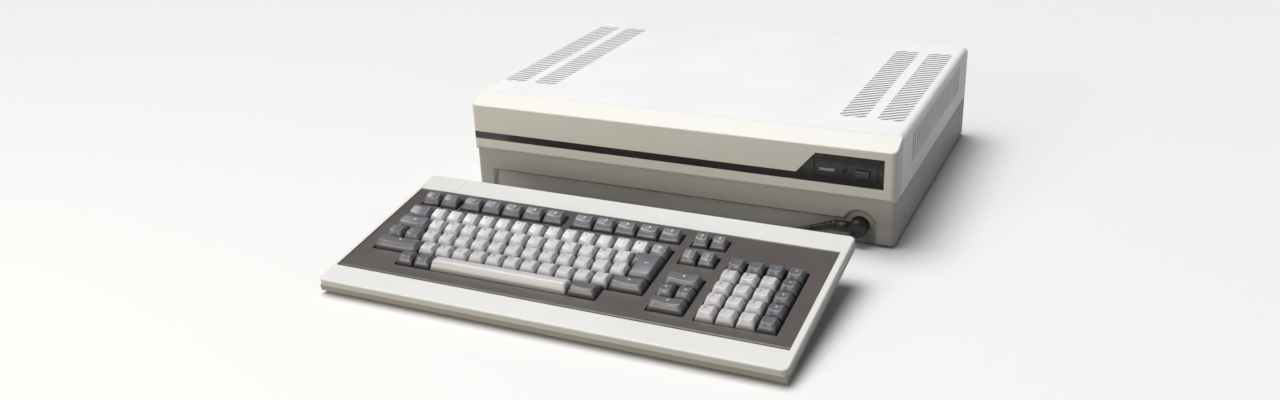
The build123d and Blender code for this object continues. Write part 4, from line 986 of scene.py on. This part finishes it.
@dataclass
class KeyField:
    """All key caps with their legends, on the keyboard's own frame.

    Edges and lines of keys are counted in key pitches from the figure-one key.
    """

    frame: KeyboardFrame
    wardrobe: Wardrobe
    repeater: Repeater
    gap: float = 0.85        # mm between neighbouring caps
    play: float = 0.25       # degrees that a cap may stand askew
    side: float = -1.95      # left and right edge of the main block
    edge: float = 13.63
    pad_left: float = 16.67
    pad_line: float = -0.1
    cursor: Pair = (14.2, 16.1)
    back_line: float = 1.55
    return_left: float = 12.0    # left edge of the return key's wide back
    return_step: float = 12.25   # and of its narrower front
    return_line: float = -1.5    # its middle lies between two rows
    space: Pair = (2.16, 10.0)
    thumb_line: float = -4.0
    legend_size: float = 4.8     # mm, line height of a legend
    light_inset: Pair = (3.9, 3.6)    # mm from a light cap's top left corner
    dark_shift: float = 1.2      # mm that a dark cap's legend stands behind its middle
    film: float = 0.04           # mm, thickness of the ink

    def groups(self) -> dict[str, tuple[Row, list[KeySpec]]]:
        """Lists every key of every moving node.

        Returns:
            Row shape and keys for each node's name.
        """
        middle = sum(self.cursor) / 2
        side, edge, back, thumb = self.side, self.edge, self.back_line, self.thumb_line
        table = {
            "key_stop": (Row.FUNCTION, [KeySpec(side, -0.8, back)]),
            "key_copy": (Row.FUNCTION, [KeySpec(-0.8, 0.36, back)]),
            "key_roll_up": (Row.FUNCTION, [KeySpec(14.23, 15.18, back, "⇑")]),
            "key_roll_down": (Row.FUNCTION, [KeySpec(15.18, 16.13, back, "⇓")]),
            "key_esc": (Row.FIGURES, [KeySpec(side, -0.5, 0)]),
            "key_bs": (Row.FIGURES, [KeySpec(12.5, edge, 0, "←")]),
            "key_tab": (Row.UPPER, [KeySpec(side, 0, -1, "→")]),
            "key_ctrl": (Row.HOME, [KeySpec(side, -0.85, -2)]),
            "key_caps": (Row.HOME, [KeySpec(-0.85, 0.25, -2)]),
            "key_shift_left": (Row.LOWER, [KeySpec(side, 0.75, -3, "↑")]),
            "key_shift_right": (Row.LOWER, [KeySpec(11.75, edge, -3, "↑")]),
            "key_kana": (Row.THUMB, [KeySpec(0.1, 1.13, thumb)]),
            "key_graph": (Row.THUMB, [KeySpec(1.13, self.space[0], thumb)]),
            "key_xfer": (Row.THUMB, [KeySpec(self.space[1], 11.58, thumb)]),
            "key_ins": (Row.FIGURES, [KeySpec(self.cursor[0], middle, 0)]),
            "key_del": (Row.FIGURES, [KeySpec(middle, self.cursor[1], 0)]),
            "key_up": (Row.HOME, [KeySpec(*self.cursor, -2, "↑")]),
            "key_left": (Row.LOWER, [KeySpec(self.cursor[0], middle, -3, "←")]),
            "key_right": (Row.LOWER, [KeySpec(middle, self.cursor[1], -3, "→")]),
            "key_down": (Row.THUMB, [KeySpec(*self.cursor, thumb, "↓")]),
            "keys_figures": (Row.FIGURES, self.run(-0.5, 13, 0, "1234567890-^¥")),
            "keys_upper": (Row.UPPER, self.run(0, 12, -1, "QWERTYUIOP@[")),
            "keys_home": (Row.HOME, self.run(0.25, 12, -2, "ASDFGHJKL;:]")),
            "keys_lower": (Row.LOWER, self.run(0.75, 11, -3, "ZXCVBNM,./_")),
            "keys_function": (
                Row.FUNCTION,
                self.run(0.57, 5, back, "12345", 1.27) + self.run(7.4, 5, back, "67890", 1.25),
            ),
        }
        pad = "  -/789*456+123=0,. "
        light, dark = [], []
        for number, legend in enumerate(pad):
            line, column = divmod(number, 4)
            left = self.pad_left + column
            spec = KeySpec(left, left + 1, self.pad_line - line, legend.strip())
            (dark if line == 0 or column == 3 else light).append(spec)
        table["numpad_dark"] = (Row.PAD, dark)
        table["numpad_light"] = (Row.PAD, light)
        return table

    @staticmethod
    def run(first: float, count: int, line: float, legends: str, pitch: float = 1.0) -> list[KeySpec]:
        """Lists a run of equal keys.

        Args:
            first: Left edge of the first key.
            count: Number of keys.
            line: Middle of the row.
            legends: One legend for each key.
            pitch: Width of each key in pitches.

        Returns:
            The run's keys.
        """
        return [
            KeySpec(first + n * pitch, first + (n + 1) * pitch, line, legends[n]) for n in range(count)
        ]

    def cap(self, width: float, row: Row) -> CapShape:
        """Shapes a plain cap.

        Args:
            width: Width in key pitches.
            row: The row's profile.

        Returns:
            The cap's shape.
        """
        half_x = (width * self.frame.pitch - self.gap) / 2
        half_y = (self.frame.pitch - self.gap) / 2
        corners = ((-half_x, -half_y), (half_x, -half_y), (half_x, half_y), (-half_x, half_y))
        return CapShape(corners, row)

    def build(self) -> None:
        """Builds the caps and legends of every node and makes them move with it."""
        for seed, (node, (row, keys)) in enumerate(self.groups().items(), start=1):
            light = node in LIGHT_CAPS
            cap = self.cap(keys[0].right - keys[0].left, row)
            pattern = cap.build("cap_pattern")
            spots = [self.frame.key((key.left + key.right) / 2, key.line) for key in keys]
            caps = self.repeater.place(
                f"caps_{node}", pattern, spots,
                self.wardrobe.get(CAP_LIGHT_PBT if light else CAP_DARK_PBT),
                tilt=self.frame.turn(), play=radians(self.play), seed=seed,
            )
            self.attach(caps, node)
            self.legends(node, cap, keys, light)
            LOG.info("caps of %s: %d", node, len(keys))
        self.return_key()
        self.space_bar()

    def attach(self, piece: bpy.types.Object, node: str) -> None:
        """Lets a cap piece stand for its node and move with it.

        Args:
            piece: The caps.
            node: The node that they replace.
        """
        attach(piece, node)
        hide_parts(node)

    def legends(self, node: str, cap: CapShape, keys: list[KeySpec], light: bool) -> None:
        """Prints the legends of one node's keys.

        Args:
            node: The node that carries them.
            cap: Shape of the caps.
            keys: Keys with their legends.
            light: Whether the caps are light, which takes dark ink.
        """
        printed = []
        for key in keys:
            if key.legend:
                spot = self.frame.key((key.left + key.right) / 2, key.line)
                printed.append(self.print_on(cap, key.legend, spot, light))
        if not printed:
            return
        ink = joined(f"legend_{node}", printed)
        self.wardrobe.dress(ink, LEGEND_DARK if light else LEGEND_LIGHT)
        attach(ink, node)

    def print_on(self, cap: CapShape, text: str, spot: Vector, light: bool) -> bpy.types.Object:
        """Prints one legend on a cap's top, following its dish.

        Args:
            cap: The cap's shape.
            text: One sign.
            spot: The cap's origin.
            light: Whether the cap is a light one, whose sign stands at the left back.

        Returns:
            The printed sign as a thin mesh.
        """
        flat = sign(text, self.legend_size)
        left, right, _, _ = cap.span()
        top_front, top_back, _, _ = cap.row.value
        if light:
            shift_x = left + cap.lean + self.light_inset[0]
            shift_y = top_back - self.light_inset[1]
        else:
            shift_x = (left + right) / 2
            shift_y = (top_front + top_back) / 2 + self.dark_shift
        lean = Matrix.Rotation(radians(self.frame.tilt), 3, "X")
        for vertex in flat.vertices:
            x, y = vertex.co.x + shift_x, vertex.co.y + shift_y
            vertex.co = spot + lean @ (Vector((x, y, cap.top_height(x, y) + self.film)) * MM)
        return linked("sign", flat)

    def return_key(self) -> None:
        """Builds the return key: two rows deep, and wider behind."""
        pitch = self.frame.pitch
        half = (pitch - self.gap) / 2
        middle = (self.return_step + self.edge) / 2
        right = (self.edge - middle) * pitch - self.gap / 2
        left = (self.return_step - middle) * pitch + self.gap / 2
        far_left = (self.return_left - middle) * pitch + self.gap / 2
        deep = pitch / 2
        corners = (
            (left, -half - deep), (right, -half - deep), (right, half + deep),
            (far_left, half + deep), (far_left, deep - half), (left, deep - half),
        )
        cap = CapShape(corners, Row.UPPER, spare=deep, dish=0.0, top_r=2.0, side_steps=1)
        spot = self.frame.key(middle, self.return_line)
        pattern = cap.build("cap_pattern")
        caps = self.repeater.place(
            "caps_key_return", pattern, [spot], self.wardrobe.get(CAP_DARK_PBT),
            tilt=self.frame.turn(),
        )
        self.attach(caps, "key_return")
        plain = CapShape(
            ((left, -half - deep), (right, -half - deep), (right, half + deep), (left, half + deep)),
            Row.UPPER, spare=deep, dish=0.0,
        )
        ink = self.print_on(plain, "↵", spot, False)
        ink.name = "legend_key_return"
        self.wardrobe.dress(ink, LEGEND_LIGHT)
        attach(ink, "key_return")
        LOG.info("return key")

    def space_bar(self) -> None:
        """Builds the space bar: one long cap with a barrel-shaped top."""
        left, right = self.space
        cap = self.cap(right - left, Row.BAR)
        bar = CapShape(
            cap.corners, Row.BAR, lean=2.0, dish=0.0, crown=0.9, top_r=2.2, edge_r=1.6,
            side_steps=9,
        )
        pattern = bar.build("cap_pattern")
        caps = self.repeater.place(
            "caps_key_space", pattern, [self.frame.key((left + right) / 2, self.thumb_line)],
            self.wardrobe.get(CAP_LIGHT_PBT), tilt=self.frame.turn(),
        )
        self.attach(caps, "key_space")
        LOG.info("space bar")


# ------------------------------------------------------------------ lead
@dataclass
class Lead:
    """The keyboard's lead with its plug, its ribbed boot and its relief sleeve.

    Sizes are in millimetres, apart from the cord's length and route.
    """

    wardrobe: Wardrobe
    repeater: Repeater
    diameter: float = 5.5
    length: float = 0.637    # metres along its middle line
    head_r: float = 10.0     # round head of the plug, over its grip ridges
    head_t: float = 14.0
    grips: int = 28          # grip ridges round the head
    grip_depth: float = 0.5  # how far they stand off the moulding
    grip_r: Pair = (0.25, 0.55)   # radius of one at its ends and along it
    grip_l: float = 8.8
    grip_foot: float = 0.9   # from the head's back
    shell_r: float = 6.5     # steel shell that goes into the socket
    shell_l: float = 8.0
    sleeve_r: float = 5.6
    sleeve_end: float = 27.0     # from the head's axis
    boot_l: float = 26.0
    boot_r: Pair = (4.4, 3.3)     # at its root and at the cord
    boot_dip: float = 18.0   # degrees below level at which the cord comes out
    relief_l: float = 17.0
    relief_r: Pair = (4.6, 3.3)
    relief_dip: float = 30.0
    rib_pitch: float = 2.9
    rib_t: Pair = (1.5, 0.9)      # thickness of a rib at its foot and its crest
    rib_first: float = 1.2   # from a boot's root
    bare_end: float = 4.5    # stretch of a boot without ribs
    # from the plug's boot along the desk behind the keyboard to its back, in metres
    route: tuple[Triple, ...] = (
        (0.158773, -0.0447, 0.012466),
        (0.133094, -0.0447, 0.004122),
        (0.084, -0.0505, 0.00275),
        (0.020, -0.055, 0.00275),
        (-0.050, -0.052, 0.00275),
        (-0.116, -0.0465, 0.00275),
        (-0.172, -0.053, 0.00275),
        (-0.199, -0.082, 0.00275),
        (-0.188, -0.113, 0.00275),
        (-0.152, -0.121, 0.00275),
        (-0.112, -0.107, 0.00275),
        (-0.080, -0.080, 0.00275),
        (-0.047, -0.0665, 0.00275),
        (-0.017, -0.0665, 0.0055),
        (-0.003, -0.076, 0.011),
        (0.003, -0.090920, 0.017128),
        (0.003, -0.108241, 0.027128),
    )

    def build(self) -> None:
        """Builds the cord as one smooth line, and what is on it."""
        curve = bpy.data.curves.new("keyboard_lead", "CURVE")
        curve.dimensions = "3D"
        spline = curve.splines.new("NURBS")
        spline.points.add(len(self.route) - 1)
        for point, place in zip(spline.points, self.route):
            point.co = (*place, 1.0)
        spline.order_u = 3
        spline.use_endpoint_u = True
        spline.resolution_u = 12
        curve.bevel_depth = self.diameter / 2 * MM
        curve.bevel_resolution = 6
        curve.use_fill_caps = True
        cord = linked("keyboard_lead", curve)
        self.wardrobe.dress(cord, CORD_PVC)
        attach(cord, "computer")
        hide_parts("keyboard_cord")
        self.plug()
        self.relief()
        LOG.info("keyboard lead")

    def plug(self) -> bpy.types.Object:
        """Builds the moulded plug: ridged head, side sleeve and ribbed boot.

        Returns:
            The plug as one piece.
        """
        low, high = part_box("cord_plug")
        axis_x, axis_z = high.x / MM - self.head_r, high.z / MM - self.head_r
        back = low.y / MM + self.head_t
        head_place = placed((axis_x, back, axis_z), (0.0, -1.0, 0.0))
        deep = self.head_t
        body = self.head_r - self.grip_depth
        skirt = [(body - 1.2, 0.0), (body, 0.6), (body, deep - 3.6)]
        groove = [(body - 0.7, deep - 3.2), (body - 0.7, deep - 2.6), (body - 0.1, deep - 2.2)]
        shoulder = [
            (body - 0.4, deep - 1.0), (body - 1.3, deep - 0.35), (body - 2.6, deep), (body - 3.4, deep)
        ]
        hollow = [(body - 3.8, deep - 0.5), (body - 7.5, deep - 0.5)]
        head = lathe("plug_head", skirt + groove + shoulder + hollow, head_place, 64)
        thin, thick = self.grip_r
        long = self.grip_l
        ridge = lathe(
            "ridge", [(thin, 0.0), (thick, 0.5), (thick, long - 0.5), (thin, long)], Matrix(), 8
        )
        step = 2 * pi / self.grips
        spots = [
            head_place @ (Vector((body * cos(n * step), body * sin(n * step), self.grip_foot)) * MM)
            for n in range(self.grips)
        ]
        ridges = self.repeater.place(
            "plug_ridges", ridge, spots, self.wardrobe.get(CORD_PVC), tilt=(pi / 2, 0.0, 0.0)
        )
        shell = lathe("plug_shell", [
            (self.shell_r - 0.3, -self.shell_l), (self.shell_r, 0.4 - self.shell_l),
            (self.shell_r, 0.2),
        ], head_place)
        middle = back - deep / 2
        wide, end = self.sleeve_r, self.sleeve_end
        sleeve = lathe("plug_sleeve", [
            (wide, body - 4.0), (wide, end - 6.5), (wide - 0.4, end - 6.1), (wide - 0.4, end - 5.3),
            (wide, end - 4.9), (wide - 0.1, end - 1.2), (wide - 0.5, end - 0.3), (wide - 1.2, end),
        ], placed((axis_x, middle, axis_z), (-1.0, 0.0, 0.0)))
        dip = radians(self.boot_dip)
        boot = self.boot(
            "plug_boot", self.route[0], (-cos(dip), 0.0, -sin(dip)), self.boot_l, self.boot_r
        )
        self.wardrobe.dress(shell, NICKEL)
        for piece in (head, sleeve):
            self.wardrobe.dress(piece, CORD_PVC)
        plug = joined("plug", [head, ridges, shell, sleeve, boot])
        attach(plug, "computer")
        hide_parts("cord_plug")
        LOG.info("plug")
        return plug

    def relief(self) -> bpy.types.Object:
        """Builds the ribbed sleeve at the back of the keyboard.

        Returns:
            The sleeve as one piece.
        """
        dip = radians(self.relief_dip)
        relief = self.boot(
            "relief_sleeve", self.route[-1], (0.0, cos(dip), -sin(dip)), self.relief_l, self.relief_r
        )
        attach(relief, "computer")
        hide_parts("cord_relief")
        LOG.info("relief sleeve")
        return relief

    def boot(
        self, name: str, end: Triple, towards: Triple, length: float, radii: Pair
    ) -> bpy.types.Object:
        """Builds a tapered sleeve with ribs that lets the cord bend gently.

        Args:
            name: The piece's name.
            end: Its thin end in metres, where the cord comes out.
            towards: Way from its root to that end.
            length: From root to end in mm.
            radii: At the root and at the end in mm.

        Returns:
            Core and ribs as one piece.
        """
        root = Vector(end) / MM - Vector(towards) * length
        place = placed(root, towards)
        wide, thin = radii
        core = lathe(f"{name}_core", [
            (wide - 0.6, -1.0), (wide - 0.6, 0.8), (thin - 0.45, length - 3.0),
            (thin, length - 2.6), (thin, length - 0.4), (thin - 0.4, length),
        ], place)
        self.wardrobe.dress(core, CORD_PVC)
        foot, crest = self.rib_t[0] / 2, self.rib_t[1] / 2
        rib = lathe(
            "rib", [(wide - 0.9, -foot), (wide, -crest), (wide, crest), (wide - 0.9, foot)], Matrix()
        )
        count = int((length - self.bare_end) / self.rib_pitch) + 1
        heights = [self.rib_first + n * self.rib_pitch for n in range(count)]
        ribs = self.repeater.place(
            f"{name}_ribs", rib, [place @ Vector((0.0, 0.0, height * MM)) for height in heights],
            self.wardrobe.get(CORD_PVC), tilt=tuple(place.to_euler()),
            shares=[1 - (1 - thin / wide) * height / length for height in heights],
        )
        return joined(name, [core, ribs])


# ------------------------------------------------------------------ small parts
@dataclass
class SmallParts:
    """Screws, connector contacts and the print beside the power button. Millimetres."""

    wardrobe: Wardrobe
    repeater: Repeater
    head_r: float = 3.6      # screws in the sides
    head_t: float = 1.4
    plate_screw_r: float = 2.5   # screws that hold the slot covers
    plate_screw_t: float = 1.1
    slot_size: Pair = (150.0, 19.0)
    slot_edge: float = 3.6   # screws from the cover's ends
    # rear connectors: height of the middle and width of the shell in mm
    ports: tuple[Pair, ...] = ((52.0, 31.0), (71.0, 37.0), (90.0, 31.0))
    contact_pitch: float = 2.77
    row_pitch: float = 2.84      # between a connector's two rows of contacts
    contact_r: float = 0.5
    contact_out: float = 4.0     # how far a contact stands out of its block
    shell_wall: float = 8.0      # part of a connector's width without contacts
    port_proud: float = 5.0      # a shell's rim stands this far behind the contacts' block
    side_turn: float = 0.3       # radians that the first side screws' recesses are turned
    recess_turn: float = 0.4     # and from one slot screw's recess to the next
    word_from_right: float = 70.8    # middle of the print from the housing's right side
    word_z: float = 80.1
    word_size: float = 4.4
    frame_raise: float = 0.6         # of the line round the switch field
    # the line's sides from the housing's right side, and its foot and head over the desk
    frame_sides: Pair = (84.5, 18.0)
    frame_levels: Pair = (72.6, 92.4)
    frame_line: float = 1.0
    film: float = 0.05               # print stands this far off its ground

    def build(self) -> None:
        """Builds every small part in turn."""
        self.side_screws()
        self.slot_screws()
        self.contacts()
        self.word()
        self.field_line()

    def cross_head(self, radius: float, height: float) -> bpy.types.Object:
        """Builds a pan head with a cross recess, its seat at the origin.

        Args:
            radius: Of the head in mm.
            height: Of the head in mm.

        Returns:
            The head as a pattern piece.
        """
        build = bmesh.new()
        arm, half, deep = 0.52 * radius, 0.13 * radius, 0.62 * height

        def ring(size: float, level: float) -> list[bmesh.types.BMVert]:
            """Adds one round of corners."""
            turns = [2 * pi * step / 32 for step in range(32)]
            return [build.verts.new(Vector((size * cos(t), size * sin(t), level)) * MM) for t in turns]

        def cross(long: float, wide: float, level: float) -> list[bmesh.types.BMVert]:
            """Adds the recess's outline at one level.

            Args:
                long: From the middle to an arm's end in mm.
                wide: Half of an arm's width in mm.
                level: Height in mm.

            Returns:
                Its twelve corners.
            """
            quarter = [(long, -wide), (long, wide), (wide, wide)]
            spots = []
            for turn in range(4):
                c, s = (1, 0, -1, 0)[turn], (0, 1, 0, -1)[turn]
                spots += [(x * c - y * s, x * s + y * c) for x, y in quarter]
            return [build.verts.new(Vector((x, y, level)) * MM) for x, y in spots]

        def wall(low: list[bmesh.types.BMVert], high: list[bmesh.types.BMVert]) -> None:
            """Joins two outlines with faces.

            Args:
                low: Corners of the first.
                high: Corners of the second, as many.
            """
            for at in range(len(low)):
                after = (at + 1) % len(low)
                build.faces.new((low[at], low[after], high[after], high[at]))

        rounds = [
            ring(radius, 0), ring(radius, 0.45 * height), ring(0.93 * radius, 0.8 * height),
            ring(0.75 * radius, height),
        ]
        for low, high in zip(rounds, rounds[1:]):
            wall(low, high)
        build.faces.new(list(reversed(rounds[0])))
        mouth, floor = cross(arm, half, height), cross(0.7 * arm, 0.6 * half, height - deep)
        wall(mouth, floor)
        build.faces.new(floor)
        rims = [
            build.edges.get((loop[at], loop[(at + 1) % len(loop)])) or
            build.edges.new((loop[at], loop[(at + 1) % len(loop)]))
            for loop in (rounds[-1], mouth) for at in range(len(loop))
        ]
        bmesh.ops.triangle_fill(build, edges=rims, use_beauty=True)
        bmesh.ops.recalc_face_normals(build, faces=build.faces)
        mesh = bpy.data.meshes.new("screw_head")
        build.to_mesh(mesh)
        build.free()
        return linked("screw_head", mesh)

    def side_screws(self) -> None:
        """Puts the four screws in the sides of the lower case."""
        low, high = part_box("cover_screws")
        radius, tall = self.head_r * MM, self.head_t * MM
        spots, turns = [], []
        for number, y in enumerate((low.y + radius, high.y - radius)):
            for side, x in ((1, high.x - tall), (-1, low.x + tall)):
                spots.append(Vector((x, y, low.z + radius)))
                outwards = Matrix.Rotation(side * pi / 2, 3, "Y")
                recess = Matrix.Rotation(self.side_turn + number * side, 3, "X")
                turns.append(tuple((recess @ outwards).to_euler()))
        head = self.cross_head(self.head_r, self.head_t)
        screws = self.repeater.place(
            "side_screws", head, spots, self.wardrobe.get(ZINC_SCREW), turns=turns
        )
        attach(screws, "computer")
        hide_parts("cover_screws")
        LOG.info("side screws")

    def slot_screws(self) -> None:
        """Puts two screws in each slot cover at the back."""
        low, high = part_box("slot_covers")
        width, height = (size * MM for size in self.slot_size)
        edge = self.slot_edge * MM
        columns = [low.x + edge, low.x + width - edge, high.x - width + edge, high.x - edge]
        rows = [low.z + height / 2, (low.z + high.z) / 2, high.z - height / 2]
        spots = [Vector((x, high.y, z)) for x in columns for z in rows]
        turns = [(-pi / 2, self.recess_turn * n, 0.0) for n in range(len(spots))]
        head = self.cross_head(self.plate_screw_r, self.plate_screw_t)
        screws = self.repeater.place(
            "slot_screws", head, spots, self.wardrobe.get(ZINC_SCREW), turns=turns
        )
        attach(screws, "computer")
        LOG.info("slot cover screws")

    def contacts(self) -> None:
        """Puts two rows of contacts in each rear connector."""
        low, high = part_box("rear_ports")
        middle = (low.x + high.x) / 2
        spots = []
        for height, width in self.ports:
            count = int((width - self.shell_wall) / self.contact_pitch)
            for row, number in ((1, count), (-1, count - 1)):
                first = middle - (number - 1) / 2 * self.contact_pitch * MM
                spots += [
                    Vector((first + n * self.contact_pitch * MM, high.y - self.port_proud * MM,
                            (height + row * self.row_pitch / 2) * MM))
                    for n in range(number)
                ]
        pin = lathe("contact", [
            (self.contact_r, -0.5), (self.contact_r, self.contact_out - 0.6),
            (0.6 * self.contact_r, self.contact_out),
        ], Matrix(), 10)
        pins = self.repeater.place(
            "port_contacts", pin, spots, self.wardrobe.get(NICKEL), tilt=(-pi / 2, 0.0, 0.0)
        )
        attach(pins, "computer")
        LOG.info("port contacts: %d", len(spots))

    def word(self) -> None:
        """Prints ON/OFF in white beside the lamp, on the inlay's face."""
        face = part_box("black_trim")[0].y + self.frame_raise * MM
        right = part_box("lower_case")[1].x
        flat = sign("ON/OFF", self.word_size)
        for vertex in flat.vertices:
            vertex.co = Vector((
                right + (vertex.co.x - self.word_from_right) * MM, face - self.film * MM,
                self.word_z * MM + vertex.co.y * MM,
            ))
        printed = linked("switch_word", flat)
        self.wardrobe.dress(printed, PANEL_INK)
        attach(printed, "computer")
        LOG.info("switch word")

    def field_line(self) -> None:
        """Lays gloss varnish on the raised line round the switch field."""
        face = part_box("black_trim")[0].y - self.film * MM
        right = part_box("lower_case")[1].x
        spots = []
        for inset in (0.0, self.frame_line):
            left_x = right - (self.frame_sides[0] - inset) * MM
            right_x = right - (self.frame_sides[1] + inset) * MM
            low_z = (self.frame_levels[0] + inset) * MM
            high_z = (self.frame_levels[1] - inset) * MM
            spots += [
                Vector((left_x, face, low_z)), Vector((right_x, face, low_z)),
                Vector((right_x, face, high_z)), Vector((left_x, face, high_z)),
            ]
        faces = [[at, (at + 1) % 4, 4 + (at + 1) % 4, 4 + at] for at in range(4)]
        line = mesh_object("field_line", spots, faces, smooth=False)
        self.wardrobe.dress(line, FIELD_VARNISH)
        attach(line, "computer")
        LOG.info("line round the switch field")


# ------------------------------------------------------------------ stage
@dataclass
class Studio:
    """Camera, floor and lights, placed in metres."""

    lens: float = 33.21      # mm
    camera_at: Triple = (0.4802, -1.1276, 0.5189)
    yaw: float = 25.38       # degrees, turned to the left of straight back
    pitch: float = -22.74    # below level
    roll: float = 2.13
    floor_reach: float = 12.0
    floor_seen: str = "#dfdfdf"      # the floor's own shade
    floor_thrown: str = "#767471"    # the darker shade of the light that it throws back
    fibre: float = 2.5       # mm across one fibre, drawn coarser than the real one so that it shows
    aim: Triple = (0.0, 0.0, 0.08)      # what the cards face
    card_shade: str = "#fff5e0"
    sky_shade: str = "#f2f6fc"
    sky_power: float = 0.04

    def build(self) -> None:
        """Sets up the camera, the floor and the lights."""
        self.camera()
        self.floor()
        self.lights()
        bpy.context.scene.view_settings.view_transform = "Standard"

    def camera(self) -> None:
        """Places the camera."""
        data = bpy.data.cameras.new("camera")
        data.lens = self.lens
        data.sensor_width = 36.0
        data.clip_end = 50.0
        turn = (
            Matrix.Rotation(radians(self.yaw), 3, "Z")
            @ Matrix.Rotation(radians(self.pitch), 3, "X")
            @ Matrix.Rotation(radians(self.roll), 3, "Y")
        )
        axes = Matrix((turn.col[0], turn.col[2], -turn.col[1])).transposed()
        camera = linked("camera", data)
        camera.matrix_world = Matrix.Translation(self.camera_at) @ axes.to_4x4()
        bpy.context.scene.camera = camera

    def floor(self) -> None:
        """Makes the pale floor, a little darker for the light that it throws back."""
        reach = self.floor_reach
        corners = [
            Vector((x * reach, y * reach, 0)) for x, y in ((-1, -1), (1, -1), (1, 1), (-1, 1))
        ]
        floor = mesh_object("floor", corners, [[0, 1, 2, 3]], smooth=False)
        material, tree = new_material("floor_paper")
        rays = add_node(tree, "ShaderNodeLightPath").outputs
        mirrored = add_node(
            tree, "ShaderNodeMath", {0: rays["Is Glossy Ray"], 1: rays["Is Transmission Ray"]},
            operation="MAXIMUM",
        )
        seen = add_node(
            tree, "ShaderNodeMath", {0: rays["Is Camera Ray"], 1: mirrored.outputs["Value"]},
            operation="MAXIMUM",
        )
        place = add_node(tree, "ShaderNodeTexCoord").outputs["Object"]
        fibres = add_node(tree, "ShaderNodeTexNoise", {"Vector": place, "Scale": 1 / (self.fibre * MM)})
        shade = add_node(
            tree, "ShaderNodeMix",
            {0: seen.outputs["Value"], 6: linear(self.floor_thrown), 7: linear(self.floor_seen)},
            data_type="RGBA",
        )
        relief = add_node(
            tree, "ShaderNodeBump", {"Height": fibres.outputs["Fac"], "Distance": 0.1 * MM}
        )
        shader = add_node(
            tree, "ShaderNodeBsdfPrincipled",
            {"Base Color": shade.outputs[2], "Roughness": 0.9, "Specular IOR Level": 0.1,
             "Normal": relief.outputs["Normal"]},
        )
        add_node(tree, "ShaderNodeOutputMaterial", {"Surface": shader.outputs["BSDF"]})
        floor.data.materials.append(material)

    def lights(self) -> None:
        """Sets a high light, two fills, and two lit cards in front that the caps mirror."""
        self.sun("high_light", (-0.30, 0.12, 1.0), 2.95, 40.0)
        self.sun("front_fill", (-0.45, -0.35, 0.85), 0.65, 40.0)
        self.sun("side_fill", (0.8, -0.25, 0.3), 0.45, 60.0)
        self.card("low_card", (-0.95, -2.1, 0.30), (1.5, 0.5), 12.8)
        self.card("cap_card", (-0.85, -1.95, 1.0), (0.6, 0.35), 9.0)
        world = bpy.context.scene.world or bpy.data.worlds.new("surround")
        bpy.context.scene.world = world
        world.use_nodes = True
        world.node_tree.nodes.clear()
        surround = add_node(
            world.node_tree, "ShaderNodeBackground",
            {"Color": linear(self.sky_shade), "Strength": self.sky_power},
        )
        add_node(world.node_tree, "ShaderNodeOutputWorld", {"Surface": surround.outputs[0]})

    def card(self, name: str, at: Triple, size: Pair, power: float) -> None:
        """Adds a lit card that faces the object.

        Args:
            name: The light's name.
            at: Its middle, in metres.
            size: Width and height in metres.
            power: In watts.
        """
        data = bpy.data.lights.new(name, "AREA")
        data.shape = "RECTANGLE"
        data.size, data.size_y = size
        data.energy = power
        data.color = linear(self.card_shade)[:3]
        light = linked(name, data)
        light.location = at
        light.rotation_euler = (Vector(at) - Vector(self.aim)).to_track_quat("Z", "Y").to_euler()

    @staticmethod
    def sun(name: str, towards: Triple, strength: float, spread: float) -> None:
        """Adds a distant soft light.

        Args:
            name: The light's name.
            towards: Direction from the object to the light.
            strength: Its power.
            spread: Angle that it fills in the sky, in degrees.
        """
        data = bpy.data.lights.new(name, "SUN")
        data.energy = strength
        data.angle = radians(spread)
        light = linked(name, data)
        light.rotation_euler = Vector(towards).to_track_quat("Z", "Y").to_euler()


def dress_nodes(wardrobe: Wardrobe) -> None:
    """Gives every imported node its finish.

    Args:
        wardrobe: Finishes.
    """
    for name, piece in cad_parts.items():
        fallback = CAP_LIGHT_PBT if name in LIGHT_CAPS else CAP_DARK_PBT
        finish = NODE_FINISHES.get(name, fallback)
        material = wardrobe.get(finish)
        if not piece.material_slots:
            piece.data.materials.append(material)
        for slot in piece.material_slots:
            slot.material = material
    LOG.info("finishes on %d nodes", len(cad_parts))


def main() -> None:
    """Builds every sub-assembly in order."""
    logging.basicConfig(level=logging.INFO, format="%(message)s")
    wardrobe = Wardrobe()
    repeater = Repeater()
    Studio().build()
    dress_nodes(wardrobe)
    Lead(wardrobe, repeater).build()
    KeyField(KeyboardFrame(), wardrobe, repeater).build()
    SmallParts(wardrobe, repeater).build()


if __name__ == "__main__":
    main()
